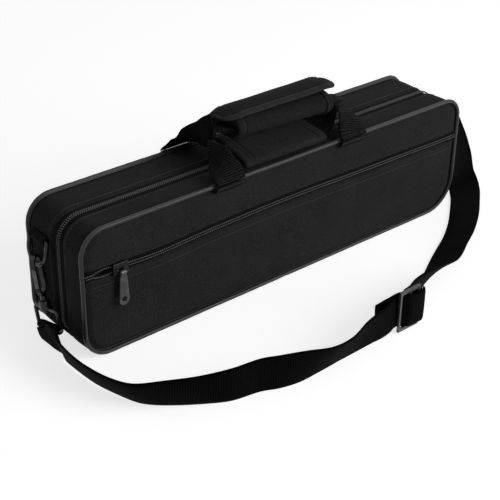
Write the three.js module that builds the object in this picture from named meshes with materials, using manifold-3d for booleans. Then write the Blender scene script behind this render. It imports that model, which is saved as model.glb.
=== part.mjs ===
// Soft-shell flute case with an outside pocket, two carrying handles and a shoulder strap.
// Millimetres, +X to the case's right, +Y to its back, +Z up.
// The origin lies on the bottom face, midway between the two ends and the two broad sides.
import * as THREE from 'three';
import { mergeVertices } from 'three/addons/utils/BufferGeometryUtils.js';
import Module from 'manifold-3d';

const wasm = await Module();
wasm.setup();

// Driving dimensions of the shell, between the centre lines of its piping
const caseLength = 420;
const caseDepth = 74.4;
const caseHeight = 111.5;
const pipingRadius = 2.1;
const topLeftRadius = 21.7;
const topRightRadius = 19;
const bottomLeftRadius = 23;
const bottomRightRadius = 31;
const splitY = -4;            // the plane where the two halves meet
const touchGap = 0.3;         // clearance between pieces that touch
const overrun = 5;            // how far a cutting tool runs past what it cuts

// Walls and linings
const gussetInset = 1;        // fabric side wall, in from the piping's centre line
const gussetWall = 4;
const frontGussetDepth = 24.3;
const backGussetDepth = 31.3;
const hingeStripHeight = 12;
const panelThickness = 3.1;
const pocketPanelThickness = 2;
const pocketSpace = 5.2;
const pocketBackThickness = 2.5;
const lidPadThickness = 11.2;
const trayDepth = 34.3;
const trayFloor = 6.8;

// Hollows of the fitted tray, each a left end, a length, a lower edge and a height
const bodyHollow = { left: -180, length: 360, low: 62, height: 34 };
const headHollow = { left: -190, length: 232, low: 16, height: 28 };
const footHollow = { left: 54, length: 138, low: 14, height: 34 };

// Main zip
const tapeRecess = 1.6;       // how far the tape lies below the side wall's face
const tapeThickness = 1;
const coilWidth = 2;
const coilHeight = 1.6;
const mainSliderRest = 42;
const sliderLength = 14;
const sliderWidth = 9.5;
const sliderThickness = 2.4;
const sliderEarWidth = 2.6;
const sliderEarThickness = 1;
const sliderPinRadius = 0.9;
const sliderPinDrop = 2.5;

// Pocket zip
const pocketZipHeight = 76;
const pocketTapeWidth = 3.6;
const pocketCoilWidth = 1.5;
const pocketCoilHeight = 1.3;
const pocketRowGap = 0.4;
const openStart = 7;          // where the open stretch starts, from the left end of the zip
const openLength = 20;
const openHalfWidth = 1.9;
const pocketSliderFromEnd = 33;  // parked place, in from the left end's piping

// Zip pull
const pullLength = 29;
const pullTopWidth = 6.6;
const pullEndWidth = 9.6;
const pullThickness = 1.6;
const pullEyeRadius = 2;
const pullEyeWidth = 5;
const pullHoleRadius = 2.3;
const pullHoleFromEnd = 5.2;
const pinClearance = 0.3;

// Webbing
const webbingWidth = 30;
const webbingThickness = 1.6;
const strapThickness = 1.8;

// Carrying handles
const anchorLength = 4.8;
const anchorTuck = 1.3;       // how far the anchor's lower end leans in towards the panel
const pivotRise = 1;          // the line that a handle swings about, above the top piping's centre line
const pivotReach = 3.8;       // the same line, out from the piping's centre line
const pivotRoom = 1.1;
const frontLegOffset = 68.6;
const frontReach = 27.5;
const frontRise = 28;
const padLeft = -47;
const padRight = 42;
const padDepth = 43.5;
const padThickness = 9;
const padRiseLeft = 10.2;
const padRiseRight = 7.8;
const padTiltLeft = 12.8;     // degrees
const padTiltRight = 5;       // degrees
const slotRoom = 0.5;
const backLegOffset = 64;
const backReach = 51;
const rollLength = 104.5;
const rollShift = 4.3;
const rollRise = 31.6;
const rollTilt = 3;           // degrees, left end up
const rollHalfDepth = 17;
const rollHalfHeight = 10.5;
const patchThickness = 0.6;
const flapThickness = 2;
const flapOverhangLeft = 10;
const flapOverhangRight = 6;
const flapHemInset = 1.2;
const flapShoulderAngle = 45; // degrees round the roll, from its back
const flapBackAngle = -20;
const flapReach = 15;         // how far the flap runs on forward from the top of the roll
const flapDroop = 1.6;
const flapLift = 3;           // degrees, its right end standing off the roll
const patchStartAngle = 62;
const patchEndAngle = 90;
const patchInset = 12;

// Strap fittings
const ringWire = 1.7;
const ringHalfWidth = 12.5;
const ringHeight = 22;
const ringBackOffset = 17.8;
const ringHang = 89.5;
const tabWidth = 21;
const tabHeight = 4.6;
const tabThickness = 2.2;
const tabLoopWall = 1.3;
const ringRoom = 0.35;
const ringSwing = 10;         // degrees, pushed out by the hook
const eyeHalfWidth = 8;
const eyeInside = 5;
const eyeTop = 7.5;
const eyeBottom = -27.5;
const eyeThickness = 4;
const eyeRoom = 0.3;
const eyeTurn = 40;           // degrees about the hook's long axis
const gateLow = -18.7;
const gateHigh = -3.3;
const gateCutLow = -19.6;
const gateCutHigh = -3;
const gateThickness = 3.4;
const gatePivot = -17;
const neckRadius = 3;
const neckEnd = -31;
const swivelPinRadius = 1.7;
const swivelPinRoom = 0.3;
const collarRadius = 4.5;
const collarEnd = -39.7;
const headRadius = 3.2;
const headEnd = -42;
const loopTop = -38;
const loopBar = -54.2;
const loopHalfWidth = 17.3;
const loopWire = 1.7;
const strapLoopWall = 1.8;
const hookSlant = 14.7;       // degrees off straight down, drawn aside by the strap

// Strap adjuster, standing on the floor in front of the case
const glideX = 20;
const glideY = -161.5;
const glideHeight = 39;
const glideLength = 24;
const glideThickness = 3;
const glideSlotHeight = 31;
const glideSlotWidth = 7.5;
const glideBar = 3;

// Counts
const cornerSteps = 8;
const tubeSides = 8;
const roundSteps = 20;

// Worked out from the sizes above
const topZ = caseHeight + pipingRadius;
const halfLength = caseLength / 2;
const halfDepth = caseDepth / 2;
const pocketSliderX = -halfLength + pocketSliderFromEnd;
const gussetFace = halfLength - gussetInset;
const panelInner = halfDepth - pipingRadius;
const gussetEnd = panelInner - touchGap;
const liningInset = gussetInset + gussetWall + touchGap;
const plateInset = pipingRadius + touchGap;
const tapeInset = gussetInset + tapeRecess;

// Materials
function finish(color, roughness, metalness = 0) {
  return new THREE.MeshStandardMaterial({ color, roughness, metalness });
}

const fabric = finish(0x242424, 0.9);
const webbing = finish(0x141414, 0.85);
const vinyl = finish(0x1c1c1c, 0.3);
const binding = finish(0x2a2a2a, 0.8);
const zipTape = finish(0x1d1d1d, 0.9);
const zipCoil = finish(0x383838, 0.5);
const darkMetal = finish(0x2e2e2e, 0.35, 0.9);
const adjusterPlastic = finish(0x303030, 0.4);
const foam = finish(0x30302f, 1);
const plush = finish(0x1b1b1f, 1);

const fluteCase = new THREE.Group();

function addPiece(name, geometry, material, parent = fluteCase) {
  const mesh = new THREE.Mesh(geometry, material);
  mesh.name = name;
  parent.add(mesh);
  return mesh;
}

// Solids
function toSolid(geometry) {
  const bare = geometry.clone();
  bare.deleteAttribute('normal');
  bare.deleteAttribute('uv');
  const merged = mergeVertices(bare);
  return new wasm.Manifold(new wasm.Mesh({
    numProp: 3,
    vertProperties: Float32Array.from(merged.attributes.position.array),
    triVerts: Uint32Array.from(merged.index.array),
  }));
}

function fromSolid(solid) {
  const mesh = solid.getMesh();
  const geometry = new THREE.BufferGeometry();
  const points = new Float32Array(mesh.numVert * 3);
  for (let i = 0; i < mesh.numVert; i += 1) {
    for (let k = 0; k < 3; k += 1) {
      points[i * 3 + k] = mesh.vertProperties[i * mesh.numProp + k];
    }
  }
  geometry.setAttribute('position', new THREE.BufferAttribute(points, 3));
  geometry.setIndex(Array.from(mesh.triVerts));
  geometry.computeVertexNormals();
  return geometry;
}

function join(...geometries) {
  return fromSolid(geometries.map(toSolid).reduce((sum, next) => sum.add(next)));
}

function cut(geometry, ...tools) {
  return fromSolid(tools.map(toSolid).reduce((rest, tool) => rest.subtract(tool), toSolid(geometry)));
}

function block(xLow, xHigh, yLow, yHigh, zLow, zHigh) {
  const box = new THREE.BoxGeometry(xHigh - xLow, yHigh - yLow, zHigh - zLow);
  box.translate((xLow + xHigh) / 2, (yLow + yHigh) / 2, (zLow + zHigh) / 2);
  return box;
}

// An outline drawn in X and Z, made solid from yFront to yBack
function prism(outline, yFront, yBack, hole = null) {
  const shape = new THREE.Shape(outline);
  if (hole) {
    shape.holes.push(new THREE.Path(hole));
  }
  const solid = new THREE.ExtrudeGeometry(shape, { depth: yBack - yFront, bevelEnabled: false, steps: 1 });
  solid.rotateX(Math.PI / 2);
  solid.translate(0, yBack, 0);
  return solid;
}

// An outline drawn in Y and Z, made solid from xLow to xHigh
function slab(outline, xLow, xHigh, hole = null) {
  const shape = new THREE.Shape(outline);
  if (hole) {
    shape.holes.push(new THREE.Path(hole));
  }
  const solid = new THREE.ExtrudeGeometry(shape, { depth: xHigh - xLow, bevelEnabled: false, steps: 1 });
  solid.rotateX(Math.PI / 2);
  solid.rotateZ(Math.PI / 2);
  solid.translate(xLow, 0, 0);
  return solid;
}

// The case's outline in X and Z, inset from the piping's centre line
function caseOutline(inset, bottomInset = inset) {
  const left = -halfLength + inset;
  const right = halfLength - inset;
  const low = pipingRadius + bottomInset;
  const high = topZ - inset;
  const corners = [
    { x: left, z: low, radius: bottomLeftRadius - inset, toX: 1, toZ: 1, start: Math.PI },
    { x: right, z: low, radius: bottomRightRadius - inset, toX: -1, toZ: 1, start: 1.5 * Math.PI },
    { x: right, z: high, radius: topRightRadius - inset, toX: -1, toZ: -1, start: 0 },
    { x: left, z: high, radius: topLeftRadius - inset, toX: 1, toZ: -1, start: Math.PI / 2 },
  ];
  const points = [];
  for (const corner of corners) {
    const centreX = corner.x + corner.toX * corner.radius;
    const centreZ = corner.z + corner.toZ * corner.radius;
    for (let i = 0; i <= cornerSteps; i += 1) {
      const angle = corner.start + (i / cornerSteps) * (Math.PI / 2);
      points.push(new THREE.Vector2(
        centreX + corner.radius * Math.cos(angle),
        centreZ + corner.radius * Math.sin(angle),
      ));
    }
  }
  return points;
}

// A closed round tube along a flat loop of points; side is the loop's own normal
function closedTube(points, radius, side, sides = tubeSides) {
  const positions = [];
  const index = [];
  const count = points.length;
  points.forEach((point, i) => {
    const before = points[(i + count - 1) % count];
    const after = points[(i + 1) % count];
    const along = after.clone().sub(before).normalize();
    const out = new THREE.Vector3().crossVectors(along, side).normalize();
    for (let k = 0; k < sides; k += 1) {
      const angle = (2 * Math.PI * k) / sides;
      const place = point.clone()
        .addScaledVector(out, radius * Math.cos(angle))
        .addScaledVector(side, radius * Math.sin(angle));
      positions.push(place.x, place.y, place.z);
      const a = i * sides + k;
      const b = i * sides + ((k + 1) % sides);
      const c = ((i + 1) % count) * sides + k;
      const d = ((i + 1) % count) * sides + ((k + 1) % sides);
      index.push(a, c, b, b, c, d);
    }
  });
  const tube = new THREE.BufferGeometry();
  tube.setAttribute('position', new THREE.Float32BufferAttribute(positions, 3));
  tube.setIndex(index);
  tube.computeVertexNormals();
  return tube;
}

// Rows of a flat band's route: centre, direction of its width, share of the full width
function bandStations(rows, stepsPerRow) {
  const centres = new THREE.CatmullRomCurve3(rows.map((row) => row.centre), false, 'catmullrom');
  const widths = new THREE.CatmullRomCurve3(rows.map((row) => row.across), false, 'catmullrom');
  const total = (rows.length - 1) * stepsPerRow;
  const stations = [];
  for (let i = 0; i <= total; i += 1) {
    const t = i / total;
    const along = centres.getTangent(t);
    const across = widths.getPoint(t);
    across.addScaledVector(along, -across.dot(along)).normalize();
    const segment = Math.min(Math.floor(t * (rows.length - 1)), rows.length - 2);
    const blend = t * (rows.length - 1) - segment;
    const share = rows[segment].share * (1 - blend) + rows[segment + 1].share * blend;
    stations.push({ centre: centres.getPoint(t), along, across, share });
  }
  return stations;
}

// A closed band of a given width and thickness along its stations
function band(stations, width, thickness) {
  const positions = [];
  const index = [];
  stations.forEach(({ centre, along, across, share }, i) => {
    const face = new THREE.Vector3().crossVectors(along, across);
    for (const [u, v] of [[-1, -1], [1, -1], [1, 1], [-1, 1]]) {
      const place = centre.clone()
        .addScaledVector(across, (u * share * width) / 2)
        .addScaledVector(face, (v * thickness) / 2);
      positions.push(place.x, place.y, place.z);
    }
    if (i > 0) {
      for (let k = 0; k < 4; k += 1) {
        const a = (i - 1) * 4 + k;
        const b = (i - 1) * 4 + ((k + 1) % 4);
        index.push(a, b, a + 4, b, b + 4, a + 4);
      }
    }
  });
  const last = (stations.length - 1) * 4;
  index.push(0, 2, 1, 0, 3, 2, last, last + 1, last + 2, last, last + 2, last + 3);
  const solid = new THREE.BufferGeometry();
  solid.setAttribute('position', new THREE.Float32BufferAttribute(positions, 3));
  solid.setIndex(index);
  solid.computeVertexNormals();
  return solid;
}

function row(x, y, z, acrossX, acrossY, acrossZ, share = 1) {
  return {
    centre: new THREE.Vector3(x, y, z),
    across: new THREE.Vector3(acrossX, acrossY, acrossZ).normalize(),
    share,
  };
}

// Piping, panels and side walls
function pipingRing(y) {
  const points = caseOutline(0).map((point) => new THREE.Vector3(point.x, y, point.y));
  return closedTube(points, pipingRadius, new THREE.Vector3(0, 1, 0));
}

function gusset(yFace, yEdge, ySplit) {
  const outer = caseOutline(gussetInset, -pipingRadius);
  const inner = caseOutline(gussetInset + gussetWall, gussetWall - pipingRadius);
  const shell = prism(outer, Math.min(yFace, ySplit), Math.max(yFace, ySplit), inner);
  const above = block(
    -halfLength - overrun, halfLength + overrun,
    Math.min(yEdge, ySplit + Math.sign(ySplit - yEdge) * overrun),
    Math.max(yEdge, ySplit + Math.sign(ySplit - yEdge) * overrun),
    hingeStripHeight, topZ + overrun,
  );
  return cut(shell, above);
}

// A band of the zip that follows the side wall over the ends and the top
function zipBand(inset, thickness, yFront, yBack) {
  const ring = prism(caseOutline(inset), yFront, yBack, caseOutline(inset + thickness));
  const below = block(
    -halfLength - overrun, halfLength + overrun,
    yFront - overrun, yBack + overrun,
    -overrun, hingeStripHeight + touchGap,
  );
  return cut(ring, below);
}

// The part of an outline prism between two heights
function panel(inset, yFront, yBack, zLow, zHigh) {
  const keep = block(-halfLength, halfLength, yFront - overrun, yBack + overrun, zLow, zHigh);
  return fromSolid(toSolid(prism(caseOutline(inset), yFront, yBack)).intersect(toSolid(keep)));
}

const frontFace = -panelInner - panelThickness;
const pocketPanelBack = frontFace + pocketPanelThickness;
const pocketBackFront = pocketPanelBack + pocketSpace;
const pocketBackBack = pocketBackFront + pocketBackThickness;
const lidPadFront = pocketBackBack + touchGap;
const frontGussetEdge = -gussetEnd + frontGussetDepth;
const backGussetEdge = gussetEnd - backGussetDepth;
const halfSeam = touchGap / 2;

const lid = new THREE.Group();
fluteCase.add(lid);
addPiece('front_piping', pipingRing(-halfDepth), vinyl, lid);
addPiece('front_gusset', gusset(-gussetEnd, frontGussetEdge, splitY - halfSeam), fabric, lid);
addPiece('front_panel_upper', panel(
  plateInset, frontFace, -panelInner, pocketZipHeight + pocketTapeWidth + touchGap, topZ,
), fabric, lid);
addPiece('pocket_panel', panel(
  plateInset, frontFace, pocketPanelBack, 0, pocketZipHeight - pocketTapeWidth - touchGap,
), fabric, lid);
addPiece('pocket_back', prism(caseOutline(liningInset), pocketBackFront, pocketBackBack), fabric, lid);
addPiece('lid_foam_pad', prism(
  caseOutline(liningInset), lidPadFront, lidPadFront + lidPadThickness,
), plush, lid);
addPiece('front_zip_tape', zipBand(
  tapeInset, tapeThickness, frontGussetEdge + touchGap, splitY - halfSeam,
), zipTape, lid);
addPiece('front_zip_teeth', zipBand(
  tapeInset - touchGap - coilHeight, coilHeight, splitY - halfSeam - coilWidth, splitY - halfSeam,
), zipCoil, lid);

const base = new THREE.Group();
fluteCase.add(base);
addPiece('back_piping', pipingRing(halfDepth), vinyl, base);
addPiece('back_gusset', gusset(gussetEnd, backGussetEdge, splitY + halfSeam), fabric, base);
addPiece('back_panel', prism(caseOutline(plateInset), panelInner, panelInner + panelThickness), fabric, base);
addPiece('back_zip_tape', zipBand(
  tapeInset, tapeThickness, splitY + halfSeam, backGussetEdge - touchGap,
), zipTape, base);
addPiece('back_zip_teeth', zipBand(
  tapeInset - touchGap - coilHeight, coilHeight, splitY + halfSeam, splitY + halfSeam + coilWidth,
), zipCoil, base);

const trayFront = gussetEnd - trayDepth;
const hollows = [bodyHollow, headHollow, footHollow].map((hollow) => block(
  hollow.left, hollow.left + hollow.length,
  trayFront - overrun, gussetEnd - trayFloor,
  hollow.low, hollow.low + hollow.height,
));
addPiece('foam_tray', cut(prism(caseOutline(liningInset), trayFront, gussetEnd), ...hollows), foam, base);

// Pocket zip: two tapes and two coil rows that part along the open stretch at the left
const zipLeft = -halfLength + plateInset + touchGap;
const zipRight = halfLength - plateInset - touchGap;

// Heights of a row's inner edge above or below the zip's line, from its left end to its right
function rowOutline(innerGap, width, upward) {
  const openSharePlaces = [0, 0.35, 0.65, 1];
  const openShareWidths = [0.15, 1, 0.8, 0];
  const inner = openSharePlaces.map((place, i) => new THREE.Vector2(
    zipLeft + openStart + place * openLength,
    innerGap + openShareWidths[i] * openHalfWidth,
  ));
  inner.unshift(new THREE.Vector2(zipLeft, innerGap));
  inner.push(new THREE.Vector2(zipRight, innerGap));
  const outer = [...inner].reverse().map((point) => new THREE.Vector2(point.x, point.y + width));
  const points = [...inner, ...outer];
  return points.map((point) => new THREE.Vector2(point.x, pocketZipHeight + upward * point.y));
}

function tapeOutline(upward) {
  const inner = rowOutline(pocketRowGap / 2, 0, upward).slice(0, 6);
  const edge = pocketZipHeight + upward * pocketTapeWidth;
  return [...inner, new THREE.Vector2(zipRight, edge), new THREE.Vector2(zipLeft, edge)];
}

const tapeFront = frontFace + tapeThickness;
const coilFront = tapeFront - touchGap - pocketCoilHeight;
for (const [name, upward] of [['upper', 1], ['lower', -1]]) {
  addPiece(`pocket_zip_tape_${name}`, prism(tapeOutline(upward), tapeFront, tapeFront + tapeThickness), zipTape, lid);
  addPiece(`pocket_zip_teeth_${name}`, prism(
    rowOutline(pocketRowGap / 2, pocketCoilWidth, upward), coilFront, coilFront + pocketCoilHeight,
  ), zipCoil, lid);
}

// Zip slider with two ears and a pin, its back at y 0, its pin along X, its pull hanging down
const pinOut = -sliderThickness - pullEyeRadius - pinClearance;

function zipSlider(alongX, alongZ) {
  const plate = block(-alongX / 2, alongX / 2, -sliderThickness, 0, -alongZ / 2, alongZ / 2);
  const earInner = pullEyeWidth / 2 + pinClearance;
  const earOuter = earInner + sliderEarThickness;
  const ears = [-1, 1].map((side) => block(
    Math.min(side * earInner, side * earOuter), Math.max(side * earInner, side * earOuter),
    pinOut - sliderEarWidth / 2, -sliderThickness / 2,
    -sliderPinDrop - sliderEarWidth / 2, -sliderPinDrop + sliderEarWidth / 2,
  ));
  const pin = new THREE.CylinderGeometry(sliderPinRadius, sliderPinRadius, 2 * earOuter, roundSteps);
  pin.rotateZ(Math.PI / 2);
  pin.translate(0, pinOut, -sliderPinDrop);
  return join(plate, ...ears, pin);
}

function circle(centreY, centreZ, radius, steps = roundSteps) {
  const points = [];
  for (let i = 0; i < steps; i += 1) {
    const angle = (2 * Math.PI * i) / steps;
    points.push(new THREE.Vector2(centreY + radius * Math.cos(angle), centreZ + radius * Math.sin(angle)));
  }
  return points;
}

// Pull tab: an eye round the pin, a tapered plate with rounded end and a round hole
function zipPull() {
  const plateTop = -sliderPinDrop;
  const endRadius = pullEndWidth / 2;
  const endCentre = plateTop - pullLength + endRadius;
  const outline = [];
  for (const side of [1, -1]) {
    const eyeSide = [
      new THREE.Vector2(side * pullTopWidth / 2, plateTop - 2 * pullEyeRadius),
      new THREE.Vector2(side * pullEyeWidth / 2, plateTop - 1.5 * pullEyeRadius),
      new THREE.Vector2(side * pullEyeWidth / 2, plateTop),
    ];
    outline.push(...(side > 0 ? eyeSide : eyeSide.reverse()));
  }
  const endSteps = roundSteps / 2;
  for (let i = 0; i <= endSteps; i += 1) {
    const angle = Math.PI + (i / endSteps) * Math.PI;
    outline.push(new THREE.Vector2(endRadius * Math.cos(angle), endCentre + endRadius * Math.sin(angle)));
  }
  const plate = prism(outline, pinOut - pullThickness / 2, pinOut + pullThickness / 2);
  const hole = prism(
    circle(0, plateTop - pullLength + pullHoleFromEnd, pullHoleRadius), pinOut - overrun, pinOut + overrun,
  );
  const eye = slab(circle(pinOut, plateTop, pullEyeRadius), -pullEyeWidth / 2, pullEyeWidth / 2);
  const bore = slab(
    circle(pinOut, plateTop, sliderPinRadius + pinClearance), -pullEyeWidth, pullEyeWidth,
  );
  return cut(join(plate, eye), hole, bore);
}

const pocketPullSet = new THREE.Group();
pocketPullSet.position.set(pocketSliderX, coilFront - touchGap, pocketZipHeight);
lid.add(pocketPullSet);
addPiece('pocket_slider', zipSlider(sliderLength, sliderWidth), darkMetal, pocketPullSet);
addPiece('pocket_pull', zipPull(), darkMetal, pocketPullSet);

const mainPullSet = new THREE.Group();
mainPullSet.position.set(
  halfLength - tapeInset + touchGap + coilHeight + touchGap, splitY, mainSliderRest,
);
mainPullSet.rotation.z = Math.PI / 2;
base.add(mainPullSet);
addPiece('main_slider', zipSlider(sliderWidth, sliderLength), darkMetal, mainPullSet);
addPiece('main_pull', zipPull(), darkMetal, mainPullSet);

// Short sewn ends of the handle webbing, over the piping and down to the panel
const pivotY = halfDepth + pivotReach;
const pivotZ = topZ + pivotRise;

function handleAnchor(x, side) {
  const top = pivotZ - pivotRoom;
  const stations = bandStations([
    row(x, side * (pivotY - anchorTuck), top - anchorLength, 1, 0, 0),
    row(x, side * pivotY, top - anchorLength / 2, 1, 0, 0),
    row(x, side * pivotY, top, 1, 0, 0),
  ], 4);
  return band(stations, webbingWidth, webbingThickness);
}

// Handle routes, each row in shares: x of the leg's offset, y of the reach in from the pivot line,
// z of the rise above it, then the direction of the webbing's width and the share of its full width
const frontLeftShares = [
  [-1, 0, 0, 1, 0, 0, 1],
  [-1, 0.09, 0.18, 1, -0.1, 0.1, 1],
  [-1, 0.36, 0.4, 0.85, -0.5, 0.2, 0.95],
  [-0.975, 0.62, 0.6, 0.4, -0.85, 0.25, 0.85],
  [-0.95, 0.8, 0.71, 0.05, -1, 0, 0.75],
  [-0.89, 0.94, 0.76, -0.05, -1, 0, 0.75],
  [-0.83, 1, 0.68, 0, -1, 0, 0.85],
  [-0.81, 1, 0.54, 0, -1, -0.1, 0.95],
  [-0.78, 1, 0.4, 0, -1, -0.18, 1],
];
const frontRightShares = [
  [0.79, 1, 0.34, 0, -1, -0.1, 1],
  [0.89, 0.98, 0.47, -0.1, -1, 0.05, 0.9],
  [0.975, 0.91, 0.6, -0.3, -0.9, 0.15, 0.8],
  [1.035, 0.76, 0.68, -0.6, -0.7, 0.15, 0.75],
  [1.05, 0.54, 0.62, -0.85, -0.35, 0.15, 0.85],
  [1.035, 0.29, 0.42, -0.97, -0.1, 0.1, 0.95],
  [1, 0.09, 0.2, -1, 0, 0, 1],
  [1, 0, 0, -1, 0, 0, 1],
];
const backLeftShares = [
  [-0.97, 0, 0, 1, 0, 0, 1],
  [-0.97, 0.06, 0.14, 1, -0.05, 0, 1],
  [-0.93, 0.2, 0.34, 0.75, -0.65, 0, 0.95],
  [-0.915, 0.41, 0.6, 0.1, -1, 0.05, 0.95],
  [-0.945, 0.62, 0.93, 0, -0.75, -0.6, 0.62],
  [-0.91, 0.87, 1.06, 0.3, -0.8, -0.5, 0.6],
];
const backRightShares = [
  [1.02, 0.97, 0.86, 0.15, -1, 0, 0.9],
  [1.08, 0.82, 0.8, 0.6, -0.8, 0.05, 0.8],
  [1.125, 0.63, 0.66, 0.85, -0.5, 0.1, 0.85],
  [1.117, 0.39, 0.4, 0.97, -0.2, 0, 0.95],
  [1.07, 0.18, 0.24, 1, -0.05, 0, 1],
  [1.031, 0.06, 0.13, 1, 0, 0, 1],
  [1.031, 0, 0, 1, 0, 0, 1],
];

function handleRows(shares, side, offset, reach, rise) {
  return shares.map(([x, y, z, ax, ay, az, share]) => row(
    x * offset, side * (pivotY - y * reach), pivotZ + z * rise, ax, ay, az, share,
  ));
}

// Front handle: a flat padded sleeve that twists a little from left to right
const padMiddleY = -pivotY + frontReach;

function padPlace(share) {
  const tilt = THREE.MathUtils.degToRad(padTiltLeft + share * (padTiltRight - padTiltLeft));
  return {
    x: padLeft + share * (padRight - padLeft),
    z: topZ + padRiseLeft + share * (padRiseRight - padRiseLeft),
    tilt,
  };
}

// A bar along X whose section, drawn about its own centre, turns with the sleeve's tilt
function padLoft(section, shares) {
  const positions = [];
  const index = [];
  const count = section.length;
  shares.forEach((share, i) => {
    const { x, z, tilt } = padPlace(share);
    for (const point of section) {
      positions.push(
        x,
        padMiddleY + point.x * Math.cos(tilt) - point.y * Math.sin(tilt),
        z + point.x * Math.sin(tilt) + point.y * Math.cos(tilt),
      );
    }
    if (i > 0) {
      for (let k = 0; k < count; k += 1) {
        const a = (i - 1) * count + k;
        const b = (i - 1) * count + ((k + 1) % count);
        index.push(a, b, a + count, b, b + count, a + count);
      }
    }
  });
  const last = (shares.length - 1) * count;
  for (let k = 1; k < count - 1; k += 1) {
    index.push(0, k + 1, k);
    index.push(last, last + k, last + k + 1);
  }
  const bar = new THREE.BufferGeometry();
  bar.setAttribute('position', new THREE.Float32BufferAttribute(positions, 3));
  bar.setIndex(index);
  bar.computeVertexNormals();
  return bar;
}

function stadium(halfWidth, radius, steps = cornerSteps) {
  const points = [];
  for (const side of [1, -1]) {
    for (let i = 0; i <= steps; i += 1) {
      const angle = -side * (Math.PI / 2) + (i / steps) * Math.PI;
      points.push(new THREE.Vector2(
        side * (halfWidth - radius) + radius * Math.cos(angle),
        radius * Math.sin(angle),
      ));
    }
  }
  return points;
}

const padShares = [0, 0.25, 0.5, 0.75, 1];
const padRunShare = overrun / (padRight - padLeft);
const slotShares = [-padRunShare, ...padShares, 1 + padRunShare];
const slotHalf = webbingWidth / 2 + slotRoom;
const slotHeight = webbingThickness / 2 + slotRoom;
const slotSection = [[-1, -1], [1, -1], [1, 1], [-1, 1]].map(
  ([u, v]) => new THREE.Vector2(u * slotHalf, v * slotHeight),
);
addPiece('front_grip_pad', cut(
  padLoft(stadium(padDepth / 2, padThickness / 2), padShares),
  padLoft(slotSection, slotShares),
), fabric, lid);

const padRows = slotShares.map((share) => {
  const { x, z, tilt } = padPlace(share);
  return row(x, padMiddleY, z, 0, -Math.cos(tilt), -Math.sin(tilt));
});
const frontHandleRows = [
  ...handleRows(frontLeftShares, -1, frontLegOffset, frontReach, frontRise),
  ...padRows,
  ...handleRows(frontRightShares, -1, frontLegOffset, frontReach, frontRise),
];
addPiece('front_handle_webbing', band(
  bandStations(frontHandleRows, 4), webbingWidth, webbingThickness,
), webbing, lid);
addPiece('front_anchor_left', handleAnchor(-frontLegOffset, -1), webbing, lid);
addPiece('front_anchor_right', handleAnchor(frontLegOffset, -1), webbing, lid);

// Back handle: a padded roll with a flap that closes over both handles
const rollMiddleY = pivotY - backReach;
const rollMiddleZ = topZ + rollRise;
const rollHalf = rollLength / 2;
const roll = new THREE.Group();
roll.position.set(rollShift, rollMiddleY, rollMiddleZ);
roll.rotation.y = THREE.MathUtils.degToRad(rollTilt);
base.add(roll);

// Arc round the roll, from one angle to another, as an outline of a given thickness
function wrapOutline(offset, thickness, startAngle, endAngle) {
  const at = (angle, extra) => new THREE.Vector2(
    (rollHalfDepth + offset + extra) * Math.cos(THREE.MathUtils.degToRad(angle)),
    (rollHalfHeight + offset + extra) * Math.sin(THREE.MathUtils.degToRad(angle)),
  );
  const inner = [];
  const outer = [];
  for (let i = 0; i <= roundSteps; i += 1) {
    const angle = startAngle + (i / roundSteps) * (endAngle - startAngle);
    inner.push(at(angle, 0));
    outer.unshift(at(angle, thickness));
  }
  return [...outer, ...inner];
}

const rollOutline = [];
for (let i = 0; i < 2 * roundSteps; i += 1) {
  const angle = (Math.PI * i) / roundSteps;
  rollOutline.push(new THREE.Vector2(rollHalfDepth * Math.cos(angle), rollHalfHeight * Math.sin(angle)));
}
const rollSlot = block(
  -rollHalf - overrun, rollHalf + overrun, -slotHalf, slotHalf, -slotHeight, slotHeight,
);
addPiece('wrap_roll', cut(slab(rollOutline, -rollHalf, rollHalf), rollSlot), fabric, roll);

const loopPatchOffset = touchGap;
const hookPatchOffset = loopPatchOffset + patchThickness + touchGap;
const flapOffset = hookPatchOffset + patchThickness + touchGap;
const patchHalf = rollHalf - patchInset;
addPiece('loop_patch', slab(
  wrapOutline(loopPatchOffset, patchThickness, patchStartAngle, patchEndAngle), -patchHalf, patchHalf,
), plush, roll);

// The flap leans about the left end of the roll, so that its right end stands a little open
const lifted = new THREE.Group();
lifted.position.set(-rollHalf, 0, 0);
lifted.rotation.y = -THREE.MathUtils.degToRad(flapLift);
roll.add(lifted);
const flapFrame = new THREE.Group();
flapFrame.position.x = rollHalf;
lifted.add(flapFrame);
addPiece('hook_patch', slab(
  wrapOutline(hookPatchOffset, patchThickness, patchStartAngle, patchEndAngle), -patchHalf, patchHalf,
), plush, flapFrame);
const flapCrown = rollHalfHeight + flapOffset;
const flapRun = overrun / 5;
const visor = [
  [flapRun, flapCrown], [flapRun, flapCrown + flapThickness], [0, flapCrown + flapThickness],
  [-flapReach, flapCrown + flapThickness - flapDroop], [-flapReach, flapCrown - flapDroop], [0, flapCrown],
].map(([y, z]) => new THREE.Vector2(y, z));
const topLow = -rollHalf - flapOverhangLeft;
const topHigh = rollHalf + flapOverhangRight;
const flapTop = join(
  slab(wrapOutline(flapOffset, flapThickness, flapShoulderAngle, 90), topLow, topHigh),
  slab(visor, topLow, topHigh),
);
const flapBack = slab(
  wrapOutline(flapOffset, flapThickness, flapBackAngle, flapShoulderAngle + 1),
  -rollHalf + flapHemInset, rollHalf - flapHemInset,
);
addPiece('wrap_flap', join(flapTop, flapBack), fabric, flapFrame);

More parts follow.
